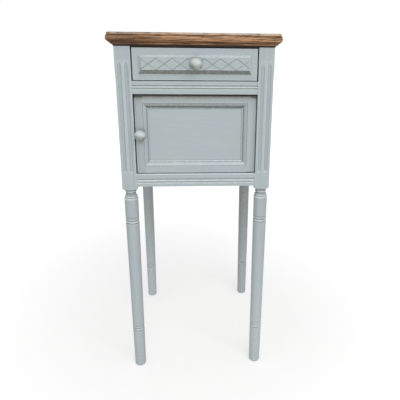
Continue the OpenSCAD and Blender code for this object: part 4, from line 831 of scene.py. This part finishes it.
def make_plaque():
    """Height of the plaque over its plan: it rises from a thin edge along a slope to the field. Each
    cut line is a V whose depth under the field falls with the distance from the line, so it runs out
    where the bevel falls away."""
    low, high = node_mm("drawer_plaque")
    half_w, half_h = (high[0] - low[0]) / 2, (high[2] - low[2]) / 2
    thick, edge_th, end_bevel, top_bevel, low_bevel = 4.0, 0.8, 5.8, 4.6, 9.4
    x, z = np.linspace(-half_w, half_w, 640)[:, None], np.linspace(-half_h, half_h, 106)[None]
    below = (half_h + z) / low_bevel
    border = np.minimum(np.minimum((half_w - np.abs(x)) / end_bevel, (half_h - z) / top_bevel), below)
    slope = edge_th + (thick - edge_th) * np.clip(border, 0, 1)

    crosses, left_margin, right_margin = 7, 15.2, 10.4
    lattice_low, lattice_high = low_bevel - 0.6 - half_h, half_h - 7.5
    lattice_h, lattice_z = lattice_high - lattice_low, (lattice_high + lattice_low) / 2
    field_x = half_w - end_bevel
    pitch = (2 * field_x - left_margin - right_margin) / (crosses - 1)
    centres = -field_x + left_margin + np.arange(crosses) * pitch
    tilt = np.arctan2(lattice_h, pitch)
    dx, dz = x[..., None] - centres, z[..., None] - lattice_z + 0 * centres
    # Strokes that rise to the right get shallower from left to right, and the others get deeper
    change = 0.1 * centres / half_w
    rising = 1.0 - change - np.abs(dx * np.sin(tilt) - dz * np.cos(tilt))
    falling = 1.0 + change - np.abs(dx * np.sin(tilt) + dz * np.cos(tilt))
    inside = (np.abs(dx) < pitch / 2 + 0.8) & (np.abs(dz) < lattice_h / 2 + 0.8)
    cut = np.where(inside, np.clip(np.maximum(rising, falling), 0, None), 0).max(-1)

    raised = np.minimum(slope, thick - cut)
    front = np.stack([x + 0 * raised, high[1] - raised, z + 0 * raised], -1)
    back = front[:, [-1, 0]].copy()
    back[..., 1] = high[1]
    rings = np.concatenate([front, back], 1)
    rings[..., 0] += (low[0] + high[0]) / 2
    rings[..., 2] += (low[2] + high[2]) / 2
    # A painted highlight on the upper bevel, and painted shade, olive like dirt, on the lower bevel and the
    # left one
    upper_bevel_highlight = (half_h - z < top_bevel) & (half_w - np.abs(x) > half_h - z)
    lower_bevel_shade = np.clip(8 * (1 - below), 0, 1) * (border == below)
    left_bevel_shade = close_to(border, [0.9], 0.25) * ((half_w + x) / end_bevel == border)
    arris = 0.7 * close_to(border, [1.0], 0.09) * (1 - left_bevel_shade) + 0.75 * upper_bevel_highlight
    hollow = np.clip(2.0 * (cut - 0.45), 0, 0.95) * (slope > thick - 1.1) + 0.9 * lower_bevel_shade + 0.5 * left_bevel_shade
    pad = ((0, 0), (0, 2))
    put_piece("latticed_plaque", rings, {"arris": np.pad(arris, pad), "hollow": np.pad(hollow, pad)},
              paint_x, "drawer", "grey_blue_paint", "drawer_plaque")


make_plaque()

# ---- Drawer box ----
# Pine sides let into the front and the back with dovetails, and a thin bottom in grooves, nailed up
# into the back. It keeps the model's own shape, with its dovetails.

finish_nodes(pine_y, "drawer_left_side", "drawer_right_side", "drawer_bottom")
finish_nodes(pine_x, "drawer_back")

# ---- Knobs ----
# Turned beech, painted paler than the case, each held by one screw from behind. The drawer's knob is a
# little larger than the door's, and both sit a little off the middle of their places.


def knob_paint(name):
    """Pale satin paint on a turned knob. To the eye: nearly white and a little shiny, with grey-green
    painted shade on its underside, broken into patches about 11 mm wide."""
    material, tree, output = new_material(name)
    place = add(tree, "ShaderNodeTexCoord").outputs["Object"]
    clouds = add(tree, "ShaderNodeTexNoise", {"Vector": place, "Scale": 90, "Detail": 3, "Roughness": 0.6})
    grain = add(tree, "ShaderNodeTexNoise", {"Vector": place, "Scale": 420, "Detail": 3, "Roughness": 0.6})
    coat = add(tree, "ShaderNodeMix",
               {0: clouds.outputs["Fac"], 6: linear("#d3dcda"), 7: linear("#cbd4d5")}, data_type="RGBA")
    hollow = add(tree, "ShaderNodeAttribute", attribute_name="hollow").outputs["Fac"]
    patch = add(tree, "ShaderNodeMapRange", {0: clouds.outputs["Fac"], 1: 0.35, 2: 0.65, 3: 0.5, 4: 0.85})
    underside_shade = add(tree, "ShaderNodeMath", {0: hollow, 1: patch.outputs[0]}, operation="MULTIPLY")
    shaded_coat = add(tree, "ShaderNodeMix", {0: underside_shade.outputs[0], 6: coat.outputs[2], 7: linear("#6b7060")},
                  data_type="RGBA")
    bump = add(tree, "ShaderNodeBump",
               {"Height": grain.outputs["Fac"], "Strength": 0.25, "Distance": 0.0004})
    skin = add(tree, "ShaderNodeBsdfPrincipled",
               {"Base Color": shaded_coat.outputs[2], "Roughness": 0.3, "Normal": bump.outputs[0], "IOR": 1.48})
    tree.links.new(skin.outputs[0], output.inputs["Surface"])
    return material


pale_paint = knob_paint("pale_satin_paint")


def turned_knob(name, node, body, ball, off_x, off_z):
    """The knob's half section turned about its axis: foot, neck and a ball a little shorter than it is
    wide. The underside is marked as hollow, for the painted shade there. ball is the ball's radius, and
    off_x and off_z say how far the knob was bored off the middle."""
    low, high = node_mm(node)
    middle_x, middle_z, base = (low[0] + high[0]) / 2 + off_x, (low[2] + high[2]) / 2 + off_z, high[1]
    length, squash, neck, pole_gap = 27, 0.88, 5.2, 0.02
    centre = length - ball * squash
    angle = np.linspace(-np.arccos(neck / ball), np.pi / 2 - pole_gap, 34)
    half = np.concatenate([[[0.0, 6.4], [0.6, 7.0], [1.6, 7.0], [2.4, 6.2], [3.4, neck]],
                           np.stack([centre + ball * squash * np.sin(angle), ball * np.cos(angle)], 1)])
    turn = np.linspace(0, 2 * np.pi, 56, endpoint=False)[None]
    height, radius = half[:, :1], half[:, 1:2]
    rings = np.stack([middle_x + radius * np.cos(turn), base - height + 0 * turn,
                      middle_z + radius * np.sin(turn)], -1)
    # Painted shade on the ball, darkest at the bottom and darker on the left than on the right
    underside = np.clip(0.55 - 1.7 * np.sin(turn + 0.15) * radius / ball, 0, 1)
    neck_dirt = (height > 2) & (height < 6)
    hollow = np.maximum(underside, 0.3 * neck_dirt)
    put_piece(name, rings, {"hollow": hollow}, pale_paint, body, "knob_paint", node)


turned_knob("turned_door_knob", "door_knob", "door", ball=12.4, off_x=1.5, off_z=2.0)
turned_knob("turned_drawer_knob", "drawer_knob", "drawer", ball=13.5, off_x=1.0, off_z=2.0)

# ---- Hardware ----
# Steel screws, nails, pivot plates and striker, and the catch in its moulded case. They keep the
# shapes of the model.


def worn_steel(name, tone, rough):
    """Drawn or rolled steel, handled for years. To the eye: grey, with fine scratches under half a
    millimetre apart and dull spots of 3 mm."""
    material, tree, output = new_material(name)
    place = add(tree, "ShaderNodeTexCoord").outputs["Object"]
    scratches = add(tree, "ShaderNodeMapping", {"Vector": place, "Scale": (1.0, 1.0, 0.1)}).outputs[0]
    fine = add(tree, "ShaderNodeTexNoise", {"Vector": scratches, "Scale": 2500, "Detail": 3})
    spots = add(tree, "ShaderNodeTexNoise", {"Vector": place, "Scale": 300, "Detail": 3})
    dull = add(tree, "ShaderNodeMapRange", {0: spots.outputs["Fac"], 1: 0.4, 2: 0.7, 3: 0.0, 4: 0.6})
    tint = add(tree, "ShaderNodeMix", {0: dull.outputs[0], 6: linear(tone), 7: linear("#6a6560")},
               data_type="RGBA")
    gloss = add(tree, "ShaderNodeMapRange", {0: fine.outputs["Fac"], 3: rough - 0.08, 4: rough + 0.12})
    bump = add(tree, "ShaderNodeBump", {"Height": fine.outputs["Fac"], "Strength": 0.2, "Distance": 0.0001})
    skin = add(tree, "ShaderNodeBsdfPrincipled",
               {"Base Color": tint.outputs[2], "Metallic": 1.0, "Roughness": gloss.outputs[0],
                "Normal": bump.outputs[0]})
    tree.links.new(skin.outputs[0], output.inputs["Surface"])
    return material


def moulded_plastic(name):
    """Brown catch case, injection moulded. To the eye: even dark brown with a fine spark texture."""
    material, tree, output = new_material(name)
    place = add(tree, "ShaderNodeTexCoord").outputs["Object"]
    grit = add(tree, "ShaderNodeTexNoise", {"Vector": place, "Scale": 1500, "Detail": 2})
    tint = add(tree, "ShaderNodeMix", {0: grit.outputs["Fac"], 6: linear("#4b3a2c"), 7: linear("#56432f")},
               data_type="RGBA")
    bump = add(tree, "ShaderNodeBump", {"Height": grit.outputs["Fac"], "Strength": 0.3, "Distance": 0.0001})
    skin = add(tree, "ShaderNodeBsdfPrincipled",
               {"Base Color": tint.outputs[2], "Roughness": 0.45, "Normal": bump.outputs[0], "IOR": 1.46})
    tree.links.new(skin.outputs[0], output.inputs["Surface"])
    return material


finish_nodes(worn_steel("drawn_steel", "#a9a8a4", 0.32), "top_screws", "pivot_pin_screws", "catch_screws",
             "door_knob_screw", "pivot_plate_screws", "striker_screws", "drawer_bottom_nails",
             "drawer_knob_screw")
finish_nodes(worn_steel("rolled_steel", "#96948f", 0.4), "pivot_pins", "pivot_plates", "striker_plate")
finish_nodes(moulded_plastic("moulded_brown_plastic"), "catch_case")
